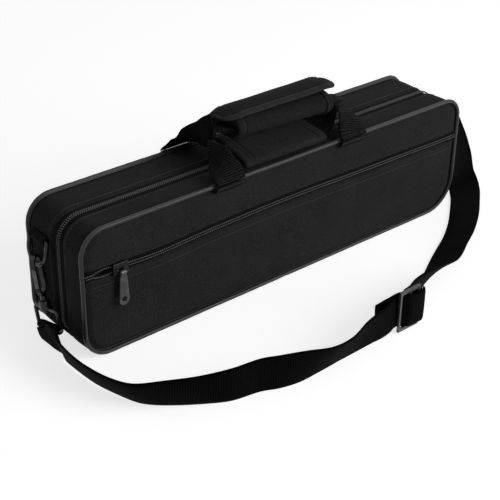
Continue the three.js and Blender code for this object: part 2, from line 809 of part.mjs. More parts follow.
const rollRunShare = overrun / rollLength;
const rollRows = [-rollRunShare, 0, 0.25, 0.5, 0.75, 1, 1 + rollRunShare].map((share) => {
  const along = (share - 0.5) * rollLength;
  const tilt = THREE.MathUtils.degToRad(rollTilt);
  return row(rollShift + along * Math.cos(tilt), rollMiddleY, rollMiddleZ - along * Math.sin(tilt), 0, -1, 0);
});
const backHandleRows = [
  ...handleRows(backLeftShares, 1, backLegOffset, backReach, rollRise),
  ...rollRows,
  ...handleRows(backRightShares, 1, backLegOffset, backReach, rollRise),
];
addPiece('back_handle_webbing', band(
  bandStations(backHandleRows, 4), webbingWidth, webbingThickness,
), webbing, base);
addPiece('back_anchor_left', handleAnchor(backHandleRows[0].centre.x, 1), webbing, base);
addPiece('back_anchor_right', handleAnchor(backHandleRows.at(-1).centre.x, 1), webbing, base);

// End fittings, made for the left end in a frame whose X points out of the case
const tabFace = gussetFace + touchGap;
const tabLoopRadius = ringWire + ringRoom + tabLoopWall;
const ringAxisX = tabFace + tabLoopRadius;

function endTab() {
  const loop = prism(circle(ringAxisX, ringHang, tabLoopRadius), -tabWidth / 2, tabWidth / 2);
  const plate = block(
    tabFace, tabFace + tabThickness, -tabWidth / 2, tabWidth / 2, ringHang, ringHang + tabHeight,
  );
  const bore = prism(circle(ringAxisX, ringHang, ringWire + ringRoom), -tabWidth, tabWidth);
  return cut(join(loop, plate), bore);
}

// D-ring about its own hanging axis: a straight bar along Y and a round bow below it
function dRing() {
  const points = [];
  const bowRadius = ringHalfWidth;
  const straight = ringHeight - bowRadius;
  points.push(new THREE.Vector3(0, -ringHalfWidth + ringWire, 0));
  points.push(new THREE.Vector3(0, 0, 0));
  points.push(new THREE.Vector3(0, ringHalfWidth - ringWire, 0));
  points.push(new THREE.Vector3(0, ringHalfWidth, -ringWire));
  for (let i = 0; i <= roundSteps; i += 1) {
    const angle = -(i / roundSteps) * Math.PI;
    points.push(new THREE.Vector3(0, bowRadius * Math.cos(angle), -straight + bowRadius * Math.sin(angle)));
  }
  points.push(new THREE.Vector3(0, -ringHalfWidth, -ringWire));
  return closedTube(points, ringWire, new THREE.Vector3(1, 0, 0));
}

// Hook about the ring's wire: its long axis is Z, its eye lies in X and Z
const eyeMiddle = (eyeTop + eyeBottom) / 2;
const eyeHalf = (eyeTop - eyeBottom) / 2;

function eyeOutline(halfWidth, halfHeight) {
  const points = [];
  for (const side of [1, -1]) {
    for (let i = 0; i <= cornerSteps; i += 1) {
      const angle = (side < 0 ? Math.PI : 0) + (i / cornerSteps) * Math.PI;
      points.push(new THREE.Vector2(
        halfWidth * Math.cos(angle),
        eyeMiddle + side * (halfHeight - halfWidth) + halfWidth * Math.sin(angle),
      ));
    }
  }
  return points;
}

const eyeWall = eyeHalfWidth - eyeInside;

function hook() {
  const eye = prism(
    eyeOutline(eyeHalfWidth, eyeHalf), -eyeThickness / 2, eyeThickness / 2,
    eyeOutline(eyeInside, eyeHalf - eyeWall),
  );
  const mouth = block(
    eyeInside / 2, eyeHalfWidth + overrun, -eyeThickness, eyeThickness, gateCutLow, gateCutHigh,
  );
  const rod = (radius, low, high) => {
    const cylinder = new THREE.CylinderGeometry(radius, radius, high - low, roundSteps);
    cylinder.rotateX(Math.PI / 2);
    cylinder.translate(0, 0, (low + high) / 2);
    return cylinder;
  };
  return cut(join(
    eye,
    rod(neckRadius, neckEnd, eyeBottom + eyeWall / 2),
    rod(swivelPinRadius, headEnd, neckEnd + eyeRoom),
    rod(headRadius, headEnd, collarEnd - eyeRoom),
  ), mouth);
}

function gate() {
  const low = eyeInside + eyeRoom / 2;
  return block(
    low, eyeHalfWidth + eyeRoom, -gateThickness / 2, gateThickness / 2, gateLow, gateHigh,
  );
}

function swivelLoop() {
  const collar = new THREE.CylinderGeometry(collarRadius, collarRadius, neckEnd - eyeRoom - collarEnd, roundSteps);
  collar.rotateX(Math.PI / 2);
  collar.translate(0, 0, (neckEnd - eyeRoom + collarEnd) / 2);
  const corner = loopWire;
  const frameShares = [[0, 0], [1, 0], [1, 1], [0, 1]];
  const points = [];
  for (const [u, v] of frameShares) {
    const y = (2 * u - 1) * loopHalfWidth;
    const z = loopTop + v * (loopBar - loopTop);
    const inY = u ? -corner : corner;
    const inZ = v ? corner : -corner;
    const ends = [new THREE.Vector3(0, y + inY, z), new THREE.Vector3(0, y, z + inZ)];
    points.push(...(u === v ? ends.reverse() : ends));
  }
  const bore = new THREE.CylinderGeometry(
    swivelPinRadius + swivelPinRoom, swivelPinRadius + swivelPinRoom, 2 * (neckEnd - collarEnd), roundSteps,
  );
  bore.rotateX(Math.PI / 2);
  bore.translate(0, 0, (neckEnd + collarEnd) / 2);
  return cut(join(closedTube(points, loopWire, new THREE.Vector3(1, 0, 0)), collar), bore);
}

// The strap's end, folded round the loop's bar and sewn
function strapLoop() {
  const radius = loopWire + touchGap;
  const sleeve = prism(circle(0, 0, radius + strapLoopWall), -webbingWidth / 2, webbingWidth / 2);
  const bore = prism(circle(0, 0, radius), -webbingWidth, webbingWidth);
  const whole = cut(sleeve, bore);
  whole.translate(0, 0, loopBar);
  return whole;
}

// One end's fittings, in a frame whose X points out of the case; the turn sets which end
function endFittings(name, turn) {
  const end = new THREE.Group();
  end.position.y = ringBackOffset;
  end.rotation.z = turn;
  base.add(end);
  addPiece(`tab_${name}`, endTab(), webbing, end);
  const swung = new THREE.Group();
  swung.position.set(ringAxisX, 0, ringHang);
  swung.rotation.y = -THREE.MathUtils.degToRad(ringSwing);
  end.add(swung);
  addPiece(`d_ring_${name}`, dRing(), darkMetal, swung);
  const hanger = new THREE.Group();
  hanger.position.copy(new THREE.Vector3(0, 0, -ringHeight).applyEuler(swung.rotation)).add(swung.position);
  hanger.rotation.x = THREE.MathUtils.degToRad(hookSlant);
  end.add(hanger);
  const turned = new THREE.Group();
  turned.rotation.z = THREE.MathUtils.degToRad(eyeTurn);
  hanger.add(turned);
  addPiece(`hook_${name}`, hook(), darkMetal, turned);
  addPiece(`gate_${name}`, gate(), darkMetal, turned);
  addPiece(`swivel_loop_${name}`, swivelLoop(), darkMetal, hanger);
  addPiece(`strap_loop_${name}`, strapLoop(), webbing, hanger);
}

endFittings('left', Math.PI);
endFittings('right', 0);

// Shoulder strap. Its route is a list of hand-chosen places.
// Floor rows: x and y of the lower edge, and how far the webbing leans outward, in degrees.
const strapFloorClearance = 1.2;
const longFloorRows = [
  [-221.5, -31, 20], [-221.5, -50, 25], [-219.3, -70, 28], [-214.5, -89, 30], [-208, -106, 27],
  [-196, -120, 18], [-175, -134.8, 11], [-154, -147, 2], [-130, -151.5, 0], [-115.6, -157.7, 0],
  [-98.7, -161.6, 6], [-77, -161, 22], [-54.7, -160, 24], [-31.8, -159.3, 12], [-8.2, -159.6, 4],
];
const shortFloorRows = [
  [52, -138.5, 12], [66, -129.5, 26], [84, -118.5, 44], [101, -108.5, 60],
  [118, -99, 66], [135.4, -90, 65], [153.5, -80.9, 65], [170.8, -70.4, 65], [187.1, -58.8, 65],
  [203.1, -46, 64], [218, -33.5, 63], [230, -21.5, 58], [242, -9, 50], [268, 11, 36], [299, 37, 20],
  [331, 70, 10], [343, 87, 6], [342, 99, 4], [332, 106, 2], [312, 106.5, 0], [288, 100, 0],
  [264, 90, -4], [244, 78, -8], [230, 66, -12],
];

function floorEdge(rows) {
  return rows.map(([x, y, lean], i) => {
    const before = rows[Math.max(i - 1, 0)];
    const after = rows[Math.min(i + 1, rows.length - 1)];
    const out = new THREE.Vector2(after[1] - before[1], before[0] - after[0]).normalize();
    const angle = THREE.MathUtils.degToRad(lean);
    const across = [out.x * Math.sin(angle), out.y * Math.sin(angle), Math.cos(angle)];
    const half = webbingWidth / 2;
    return row(
      x + across[0] * half, y + across[1] * half, strapFloorClearance + across[2] * half, ...across,
    );
  });
}

const strapLongRows = [
  row(-221.9, 4.6, 17.2, 0, -0.95, 0.3),
  row(-222.1, 2.2, 13.2, 0, -0.85, 0.5),
  row(-222.4, -4, 12.4, -0.05, -0.6, 0.8),
  row(-222.8, -12, 14.2, -0.2, -0.35, 0.9),
  row(-222.9, -21, 15.2, -0.25, -0.15, 0.95),
  ...floorEdge(longFloorRows),
  row(5, -163.6, 18.6, 0, 0, 1),
  row(14, -164.8, 19.6, 0, 0, 1),
  row(24, -164.8, 19.8, 0, 0, 1),
  row(32, -164.8, 19.8, 0, 0, 1),
  row(34.6, -163.6, 19.8, 0, 0, 1),
  row(35.3, -161.6, 19.8, 0, 0, 1),
];
const strapTailRows = [
  row(35, -161, 19.8, 0, 0, 1),
  row(34, -159.2, 19.8, 0, 0, 1),
  row(31, -158.3, 19.8, 0, 0, 1),
  row(20, -158.3, 19.8, 0, 0, 1),
  row(8, -157.4, 19.4, 0, 0, 1),
  row(-6, -154.4, 18.6, 0, 0.05, 1),
  row(-24, -152.4, 17.6, 0, 0.1, 1),
  row(-42, -152.2, 17, 0, 0.15, 1),
];
const strapShortRows = [
  row(19, -155.6, 19.8, 0, 0, 1),
  row(28, -154, 19.6, 0, 0, 1),
  row(40, -147.5, 17.5, 0.04, -0.06, 1),
  ...floorEdge(shortFloorRows),
  row(222.9, 56.6, 15.2, 0.25, 0.15, 0.95),
  row(222.8, 47.6, 14.2, 0.2, 0.35, 0.9),
  row(222.4, 39.6, 12.4, 0.05, 0.6, 0.8),
  row(222.1, 33.4, 13.2, 0, 0.85, 0.5),
  row(221.9, 31, 17.2, 0, 0.95, 0.3),
];

function strapPiece(name, rows) {
  const stations = bandStations(rows, 3);
  stations.forEach(({ centre, across }) => {
    const lowest = strapFloorClearance + (Math.abs(across.z) * webbingWidth) / 2;
    centre.z = Math.max(centre.z, lowest);
  });
  const length = stations.slice(1).reduce(
    (sum, station, i) => sum + station.centre.distanceTo(stations[i].centre), 0,
  );
  console.log(`${name}: ${length.toFixed(1)} mm long`);
  addPiece(name, band(stations, webbingWidth, strapThickness), webbing);
}

strapPiece('strap_long', strapLongRows);
strapPiece('strap_tail', strapTailRows);
strapPiece('strap_short', strapShortRows);

// Adjuster: an upright frame with two slots either side of a centre bar
const glideLow = touchGap;
const slotLow = glideLow + (glideHeight - glideSlotHeight) / 2;
const glideSlots = [-1, 1].map((side) => {
  const middle = glideX + side * (glideSlotWidth + glideBar) / 2;
  return block(
    middle - glideSlotWidth / 2, middle + glideSlotWidth / 2,
    glideY - glideThickness, glideY + glideThickness,
    slotLow, slotLow + glideSlotHeight,
  );
});
addPiece('tri_glide', cut(block(
  glideX - glideLength / 2, glideX + glideLength / 2,
  glideY - glideThickness / 2, glideY + glideThickness / 2,
  glideLow, glideLow + glideHeight,
), ...glideSlots), adjusterPlastic);

export default fluteCase;
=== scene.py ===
# Soft-shell flute case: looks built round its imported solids. +X right, +Y back, +Z up.
# Shapes are written in millimetres and become metres where a mesh or a path is made.
import math

import bmesh
import bpy
from mathutils import Matrix, Vector, noise


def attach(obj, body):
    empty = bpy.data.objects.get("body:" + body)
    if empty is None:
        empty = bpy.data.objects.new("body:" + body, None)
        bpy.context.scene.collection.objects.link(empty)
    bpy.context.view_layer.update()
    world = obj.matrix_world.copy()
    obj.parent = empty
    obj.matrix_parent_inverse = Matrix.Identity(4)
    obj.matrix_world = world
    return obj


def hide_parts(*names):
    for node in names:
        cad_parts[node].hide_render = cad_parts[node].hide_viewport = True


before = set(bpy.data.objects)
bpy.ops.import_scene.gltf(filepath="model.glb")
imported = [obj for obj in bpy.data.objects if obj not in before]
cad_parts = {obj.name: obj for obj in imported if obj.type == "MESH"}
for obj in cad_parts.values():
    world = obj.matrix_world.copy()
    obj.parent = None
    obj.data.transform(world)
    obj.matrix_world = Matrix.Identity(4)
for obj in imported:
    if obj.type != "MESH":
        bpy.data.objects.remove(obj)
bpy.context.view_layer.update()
mm = 0.001
xAxis, yAxis, zAxis = Vector((1, 0, 0)), Vector((0, 1, 0)), Vector((0, 0, 1))
print("frame loaded")


def placed(name, data):
    thing = bpy.data.objects.new(name, data)
    bpy.context.scene.collection.objects.link(thing)
    return thing


def smoothShare(value, low, high):
    t = min(max((value - low) / (high - low), 0), 1)
    return t * t * (3 - 2 * t)


def bell(distance, spread):
    # 1 at no distance, fading both ways
    return math.exp(-(distance / spread) ** 2)


def wrinkle(shape, x, y, z, shift=0):
    # A shape is a height and how fast the noise changes along x, y and z
    height, rateX, rateY, rateZ = shape
    return height * noise.noise(Vector((x * rateX, y * rateY + shift, z * rateZ)))


# Camera at the photograph's viewing angle
cameraSetup = {
    "azimuth": -40.82,
    "elevation": 30.12,
    "roll": 0.95,
    "place": (-0.6233, -0.7079, 0.5557),
    "lens": 87.79,
    "sensor": 36,
    "clip": (0.01, 50),
}


def makeCamera(setup):
    azimuth = math.radians(setup["azimuth"])
    elevation = math.radians(setup["elevation"])
    back = Vector((
        math.sin(azimuth) * math.cos(elevation),
        -math.cos(azimuth) * math.cos(elevation),
        math.sin(elevation),
    ))
    data = bpy.data.cameras.new("camera")
    data.lens = setup["lens"]
    data.sensor_width = setup["sensor"]
    data.clip_start, data.clip_end = setup["clip"]
    camera = placed("camera", data)
    right = (-back).cross(zAxis).normalized()
    up = right.cross(-back)
    turn = math.radians(setup["roll"])
    rolledRight = right * math.cos(turn) + up * math.sin(turn)
    rolledUp = up * math.cos(turn) - right * math.sin(turn)
    axes = Matrix((rolledRight, rolledUp, back)).transposed().to_4x4()
    camera.matrix_world = Matrix.Translation(Vector(setup["place"])) @ axes
    bpy.context.scene.camera = camera


makeCamera(cameraSetup)
bpy.context.scene.view_settings.view_transform = "Standard"
print("camera placed")


# Shader maths: a socket with the usual operators, which add Math nodes
class Value:
    def __init__(self, nodes, socket):
        self.nodes = nodes
        self.socket = socket

    def maths(self, operation, *others):
        inputs = dict(enumerate((self, *others)))
        node = self.nodes.node("ShaderNodeMath", {"operation": operation}, inputs)
        return Value(self.nodes, node.outputs[0])

    def __add__(self, other):
        return self.maths("ADD", other)

    __radd__ = __add__

    def __mul__(self, other):
        return self.maths("MULTIPLY", other)

    __rmul__ = __mul__

    def __sub__(self, other):
        return self.maths("SUBTRACT", other)

    def __rsub__(self, other):
        return (self * -1) + other

    def wave(self, pitch):
        # Between -1 and 1, with a crest or a trough every pitch
        return (self * (math.pi / pitch)).maths("SINE")

    def size(self):
        return self.maths("ABSOLUTE")

    def above(self, limit):
        return self.maths("GREATER_THAN", limit)

    def smaller(self, other):
        return self.maths("MINIMUM", other)

    def fade(self, low, high, start=0, end=1):
        node = self.nodes.node(
            "ShaderNodeMapRange", {"interpolation_type": "SMOOTHSTEP", "clamp": True},
            {"Value": self, "From Min": low, "From Max": high, "To Min": start, "To Max": end},
        )
        return Value(self.nodes, node.outputs["Result"])


class Nodes:
    def __init__(self, owner):
        owner.use_nodes = True
        self.tree = owner.node_tree
        self.tree.nodes.clear()

    def node(self, kind, settings=None, inputs=None):
        node = self.tree.nodes.new(kind)
        for name, setting in (settings or {}).items():
            setattr(node, name, setting)
        for name, entry in (inputs or {}).items():
            self.feed(node.inputs[name], entry)
        return node

    def feed(self, socket, entry):
        if isinstance(entry, Value):
            entry = entry.socket
        if isinstance(entry, bpy.types.NodeSocket):
            self.tree.links.new(entry, socket)
        elif isinstance(entry, tuple) and len(entry) == 3 and socket.type == "RGBA":
            socket.default_value = (*entry, 1)
        else:
            socket.default_value = entry

    def seen(self):
        # 1 for what the camera sees itself, in a gloss or through something clear
        rays = self.node("ShaderNodeLightPath").outputs
        camera, glossy, clear = [
            Value(self, rays[f"Is {kind} Ray"]) for kind in ("Camera", "Glossy", "Transmission")
        ]
        return (camera + glossy + clear).smaller(1)


class Look(Nodes):
    def __init__(self, name, setup=None):
        self.material = bpy.data.materials.new(name)
        super().__init__(self.material)
        self.setup = setup
        self.shader = self.node("ShaderNodeBsdfPrincipled")
        self.node("ShaderNodeOutputMaterial", {}, {"Surface": self.shader.outputs[0]})

    def place(self):
        return self.node("ShaderNodeTexCoord").outputs["Object"]

    def parts(self, vector):
        split = self.node("ShaderNodeSeparateXYZ", {}, {0: vector})
        return [Value(self, split.outputs[i]) for i in range(3)]

    def grain(self, scale, detail=3, roughness=0.6):
        node = self.node(
            "ShaderNodeTexNoise", {"noise_dimensions": "3D"},
            {"Vector": self.place(), "Scale": scale, "Detail": detail, "Roughness": roughness},
        )
        return Value(self, node.outputs[0])

    def blend(self, share, first, second):
        node = self.node("ShaderNodeMix", {"data_type": "RGBA"}, {0: share, 6: first, 7: second})
        return node.outputs[2]

    def set(self, entries):
        for name, entry in entries.items():
            self.feed(self.shader.inputs[name], entry)

    def finish(self, tone, roughness, height):
        # Colour between the two tones, roughness and relief, and what the setup gives outright
        dark, light = [grey(level, self.setup.get("tint", (1, 1, 1))) for level in self.setup["tones"]]
        strength, distance = self.setup["bump"]
        relief = {"Strength": strength, "Distance": distance, "Height": height}
        self.set({
            **self.setup["sockets"],
            "Base Color": self.blend(tone, dark, light),
            "Roughness": roughness,
            "Normal": self.node("ShaderNodeBump", {}, relief).outputs[0],
        })
        return self.material


def grey(level, tint):
    # A screen level from 0 to 255 as the linear colour that a shader takes
    linear = (level / 255) ** 2.2
    return tuple(linear * part for part in tint)


def mixed(shares, first, *others):
    total = first * shares[0]
    for share, other in zip(shares[1:], others):
        total = total + other * share
    return total


# Woven fabrics: crossing threads chosen by which way the surface faces. In the looks here
# "shares" says how much each pattern adds to the tone, "tones" is the darkest and the lightest
# grey, "bump" a strength and a height, and "sockets" what is the same all over.
shellFabric = {
    "thread": 1.25 * mm,
    "fleck": 1050,
    "patches": 26,
    "shares": (0.45, 0.4, 0.3),
    "tones": (18, 58),
    "roughness": (0.75, 0.95),
    "reliefs": (0.7, 0.6),
    "bump": (0.8, 0.16 * mm),
    "steep": 0.7,   # from here on a face counts as an end or a top
    "sockets": {"Specular IOR Level": 0.04, "Sheen Weight": 0.02, "Sheen Roughness": 0.5},
}
flapFabric = {
    **shellFabric, "thread": 1.05 * mm, "fleck": 1100, "tones": (16, 50), "bump": (0.6, 0.16 * mm),
}
bindingFabric = {**flapFabric, "thread": 0.6 * mm, "tones": (36, 66), "bump": (0.5, 0.16 * mm)}


def wovenLook(name, setup):
    look = Look(name, setup)
    x, y, z = look.parts(look.place())
    facingX, _, facingZ = look.parts(look.node("ShaderNodeTexCoord").outputs["Normal"])
    isEnd, isTop = [facing.size().above(setup["steep"]) for facing in (facingX, facingZ)]
    first = (x * (1 - isEnd) + y * isEnd).wave(setup["thread"])
    second = (z * (1 - isTop) + y * isTop).wave(setup["thread"])
    over = (first * second).above(0)
    weave = first.size() * over + second.size() * (1 - over)
    fleck = look.grain(setup["fleck"], 1).fade(0.25, 0.75)
    patches = look.grain(setup["patches"], 4)
    tone = mixed(setup["shares"], weave, fleck, patches).fade(0.2, 1.0)
    height = mixed(setup["reliefs"], weave, fleck)
    return look.finish(tone, fleck.fade(0.2, 0.8, *setup["roughness"]), height)


# Webbing: cross ribs along its length and a flat selvedge at both edges
strapCloth = {
    "width": 30 * mm,
    "rib": 1.9 * mm,
    "thread": 0.9 * mm,
    "selvedge": (1.9 * mm, 1.2 * mm),
    "fleck": 800,
    "patches": 45,
    "shares": (0.45, 0.35, 0.3),
    "tones": (0, 20),
    "roughness": (0.9, 0.7),
    "bump": (0.8, 0.35 * mm),
    "sockets": {"Specular IOR Level": 0.03},
}
handleCloth = {**strapCloth, "tones": (6, 50)}


def webbingLook(name, setup):
    look = Look(name, setup)
    across, along, _ = look.parts(look.node("ShaderNodeUVMap", {"uv_map": "cloth"}).outputs["UV"])
    edge, (outer, inner) = setup["width"] / 2, setup["selvedge"]
    selvedge = across.size().fade(edge - outer, edge - inner)
    fleck = look.grain(setup["fleck"], 2).fade(0.3, 0.7)
    patches = look.grain(setup["patches"])
    ribs, threads = along.wave(setup["rib"]).size(), across.wave(setup["thread"]).size()
    weave = ribs * (1 - selvedge * 0.7) * (threads * 0.35 + 0.65)
    tone = mixed(setup["shares"], weave, fleck, patches).fade(0.25, 1.0)
    return look.finish(tone, weave.fade(0, 1, *setup["roughness"]), weave + fleck * 0.15)


pipingVinyl = {
    "grain": 700,
    "patches": 30,
    "tones": (30, 47),
    "roughness": (0.36, 0.46),
    "bump": (0.12, 0.1 * mm),
    "sockets": {"Specular IOR Level": 0.3, "Coat Weight": 0.06, "Coat Roughness": 0.3},
}
tapeCloth = {
    "knit": (0.8 * mm, 1.1 * mm),
    "fleck": 1500,
    "shares": (0.5, 0.4),
    "tones": (12, 34),
    "roughness": 0.9,
    "reliefs": (1, 0.4),
    "bump": (0.5, 0.15 * mm),
    "sockets": {"Specular IOR Level": 0.06, "Sheen Weight": 0.02},
}
liningCloth = {
    "pile": 900,
    "strokes": 38,
    "shares": (0.5, 0.5),
    "tones": (12, 38),
    "tint": (0.9, 0.92, 1.1),
    "roughness": 0.95,
    "bump": (0.7, 0.5 * mm),
    "sockets": {"Sheen Weight": 0.5, "Sheen Roughness": 0.4},
}
patchCloth = {**liningCloth, "tones": (10, 30)}


def vinylLook(name, setup):
    look = Look(name, setup)
    patches = look.grain(setup["patches"])
    return look.finish(patches, patches.fade(0.3, 0.7, *setup["roughness"]), look.grain(setup["grain"]))


def tapeLook(name, setup):
    look = Look(name, setup)
    x, y, z = look.parts(look.place())
    first, second = setup["knit"]
    knit = (x + z).wave(first).size() * (y + z).wave(second).size()
    fleck = look.grain(setup["fleck"], 2)
    tone = mixed(setup["shares"], knit, fleck)
    return look.finish(tone, setup["roughness"], mixed(setup["reliefs"], knit, fleck))


def plushLook(name, setup):
    look = Look(name, setup)
    pile = look.grain(setup["pile"], 5, 0.8)
    tone = mixed(setup["shares"], pile, look.grain(setup["strokes"], 4))
    return look.finish(tone, setup["roughness"], pile)


# Metal, worn a little lighter in patches, and moulded plastic. The tones are shares of the
# piece's own grey, and the spread is what the grain takes from and adds to its roughness.
metalFinish = {
    "grain": 900,
    "wear": 160,
    "tones": (1, 1.3),
    "spread": (-0.06, 0.08),
    "bump": (0.08, 0.1 * mm),
    "sockets": {"Metallic": 0.85},
}
plasticFinish = {
    "grain": 1100,
    "tones": (0.9, 1.15),
    "spread": (-0.05, 0.1),
    "bump": (0.15, 0.08 * mm),
    "sockets": {},
}


def hardLook(name, finish, level, roughness):
    look = Look(name, {**finish, "tones": [level * tone for tone in finish["tones"]]})
    grain = look.grain(finish["grain"])
    tone = look.grain(finish["wear"], 4).fade(0.45, 0.7) if "wear" in finish else grain
    low, high = finish["spread"]
    return look.finish(tone, grain.fade(0.3, 0.7, roughness + low, roughness + high), grain)


fabric = wovenLook("shellFabric", shellFabric)
smoothFabric = wovenLook("flapFabric", flapFabric)
bindingCloth = wovenLook("bindingCloth", bindingFabric)
strapWebbing = webbingLook("strapWebbing", strapCloth)
handleWebbing = webbingLook("handleWebbing", handleCloth)
vinyl = vinylLook("pipingVinyl", pipingVinyl)
zipCloth = tapeLook("zipTape", tapeCloth)
zipNylon = hardLook("zipNylon", plasticFinish, 92, 0.36)
blackMetal = hardLook("blackMetal", metalFinish, 46, 0.28)
pullMetal = hardLook("pullMetal", metalFinish, 74, 0.36)
adjusterPlastic = hardLook("adjusterPlastic", plasticFinish, 70, 0.28)
thread = hardLook("sewingThread", plasticFinish, 42, 0.6)
plush = plushLook("liningPlush", liningCloth)
hookLoop = plushLook("closurePatch", patchCloth)
print("materials made")


# Meshes
def newPiece(name, vertices, faces, material, smooth=True, uvs=None):
    mesh = bpy.data.meshes.new(name)
    mesh.from_pydata([tuple(c * mm for c in v) for v in vertices], [], faces)
    if uvs is not None:
        layer = mesh.uv_layers.new(name="cloth")
        for loop in mesh.loops:
            u, v = uvs[loop.vertex_index]
            layer.data[loop.index].uv = (u * mm, v * mm)
    for polygon in mesh.polygons:
        polygon.use_smooth = smooth
    mesh.materials.append(material)
    return placed(name, mesh)


def tidyNormals(piece, merge=0.01 * mm):
    work = bmesh.new()
    work.from_mesh(piece.data)
    if merge:
        bmesh.ops.remove_doubles(work, verts=work.verts, dist=merge)
    bmesh.ops.recalc_face_normals(work, faces=work.faces)
    work.to_mesh(piece.data)
    work.free()
    return piece


def evaluatedMesh(thing):
    # What the modifiers make of it, as a plain mesh
    evaluated = thing.evaluated_get(bpy.context.evaluated_depsgraph_get())
    return bpy.data.meshes.new_from_object(evaluated)


def joined(name, pieces):
    work = bmesh.new()
    materials = []
    for piece in pieces:
        offset, before = len(materials), len(work.faces)
        materials.extend(piece.data.materials)
        work.from_mesh(piece.data)
        work.faces.ensure_lookup_table()
        for face in work.faces[before:]:
            face.material_index += offset
    mesh = bpy.data.meshes.new(name)
    work.to_mesh(mesh)
    work.free()
    for material in materials:
        mesh.materials.append(material)
    for piece in pieces:
        bpy.data.objects.remove(piece)
    return placed(name, mesh)


def dressed(piece, body, slot, *nodes):
    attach(piece, body)
    if nodes:
        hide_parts(*nodes)
    return piece


def softCopy(name, node, voxel, rounds, material, slim=0):
    # The solid's shape with its edges worn round, drawn in by slim where the real one is slender
    piece = tidyNormals(placed(name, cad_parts[node].data.copy()))
    remesh = piece.modifiers.new("remesh", "REMESH")
    remesh.mode = "VOXEL"
    remesh.voxel_size = voxel * mm
    smooth = piece.modifiers.new("smooth", "SMOOTH")
    smooth.factor = 0.5
    smooth.iterations = rounds
    mesh = evaluatedMesh(piece)
    piece.modifiers.clear()
    piece.data = mesh
    if slim > 0:
        # All normals are copied first, because a moved vertex has them worked out anew
        normals = [vertex.normal.copy() for vertex in mesh.vertices]
        for vertex, normal in zip(mesh.vertices, normals):
            vertex.co -= normal * (slim * mm)
    mesh.materials.clear()
    mesh.materials.append(material)
    for polygon in mesh.polygons:
        polygon.use_smooth = True
        polygon.material_index = 0
    return piece


def catmullPoint(rows, t):
    # The same even spline as the solids' routes, t from 0 to the last row
    count = len(rows)
    i = min(int(t), count - 2)
    f = t - i
    p1, p2 = rows[i], rows[i + 1]
    p0 = rows[i - 1] if i > 0 else p1 * 2 - p2
    p3 = rows[i + 2] if i + 2 < count else p2 * 2 - p1
    a = (p2 - p0) * 0.5
    b = (p3 - p1) * 0.5
    return (
        p1 + a * f + (p1 * -3 + p2 * 3 - a * 2 - b) * f * f + (p1 * 2 - p2 * 2 + a + b) * f * f * f
    )


def bandStations(rows, stepsPerRow):
    # Each row is x, y, z, the direction of the width, and the share of the full width
    centres = [Vector(row[0:3]) for row in rows]
    widths = [Vector(row[3:6]).normalized() for row in rows]
    last, nearby = len(rows) - 1, 0.01
    stations = []
    for i in range(last * stepsPerRow + 1):
        t = i / stepsPerRow
        ahead = catmullPoint(centres, min(t + nearby, last))
        behind = catmullPoint(centres, max(t - nearby, 0))
        along = (ahead - behind).normalized()
        across = catmullPoint(widths, t)
        across = (across - along * across.dot(along)).normalized()
        j = min(int(t), last - 1)
        share = rows[j][6] * (1 - (t - j)) + rows[j + 1][6] * (t - j)
        stations.append((catmullPoint(centres, t), along, across, share))
    return stations


def loft(name, stations, section, material, closed=False, mapped=False):
    # Each station is a point and two directions; section(i) gives the outline there, in the two
    vertices, uvs, faces = [], [], []
    travelled = 0.0
    size = len(section(0))
    for i, (origin, first, second) in enumerate(stations):
        if i:
            travelled += (origin - stations[i - 1][0]).length
        for p, q in section(i):
            vertices.append(origin + first * p + second * q)
            uvs.append((p, travelled))
    count = len(stations)
    for i in range(count if closed else count - 1):
        near, far = i * size, ((i + 1) % count) * size
        for k in range(size):
            after = (k + 1) % size
            faces.append((near + k, near + after, far + after, far + k))
    if not closed:
        faces.append(tuple(reversed(range(size))))
        faces.append(tuple((count - 1) * size + k for k in range(size)))
    piece = newPiece(name, vertices, faces, material, True, uvs if mapped else None)
    return tidyNormals(piece, 0)


# A woven band with rounded edges, a hollow across its width and its own cloth map
bandShape = {
    "columns": 10,
    "waveRate": 0.038,
    "seedStep": 7.3,
    "selvedgeFrom": 0.97,
    "selvedgeThickness": 0.6,
    "edgeReach": 1.014,
    "middleWave": 0.4,
}


def bandMesh(name, stations, width, thickness, material, cup=0.0, wave=0.0, seed=0, closed=False):
    columns, still = bandShape["columns"], bandShape["middleWave"]
    across = [-1 + 2 * k / columns for k in range(columns + 1)]
    travelled = [0.0]
    for i in range(1, len(stations)):
        travelled.append(travelled[-1] + (stations[i][0] - stations[i - 1][0]).length)

    def section(i):
        half = stations[i][3] * width / 2
        ripple = wrinkle((wave, bandShape["waveRate"], bandShape["seedStep"], 0), travelled[i], seed, 0)
        bend = cup(travelled[i]) if callable(cup) else cup
        outline = []
        for side in (1, -1):
            for u in across if side > 0 else reversed(across):
                edge = bandShape["selvedgeThickness"] if abs(u) > bandShape["selvedgeFrom"] else 1
                lift = bend * (1 - u * u) + ripple * (still + (1 - still) * abs(u))
                outline.append((u * half, side * thickness / 2 * edge + lift))
            outline.append((side * bandShape["edgeReach"] * half, ripple))
        return outline

    frames = [(centre, side, along.cross(side)) for centre, along, side, _ in stations]
    return loft(name, frames, section, material, closed, True)


def tubeMesh(name, points, radius, material, side, sides=18):
    # A closed ring of round cord or wire; side is the direction square to its plane
    frames = []
    for i, point in enumerate(points):
        along = (points[(i + 1) % len(points)] - points[i - 1]).normalized()
        out = along.cross(side).normalized()
        frames.append((point, out, out.cross(along).normalized()))
    angles = [2 * math.pi * k / sides for k in range(sides)]

    def section(i):
        r = radius(i) if callable(radius) else radius
        return [(r * math.cos(angle), r * math.sin(angle)) for angle in angles]

    return loft(name, frames, section, material, True)


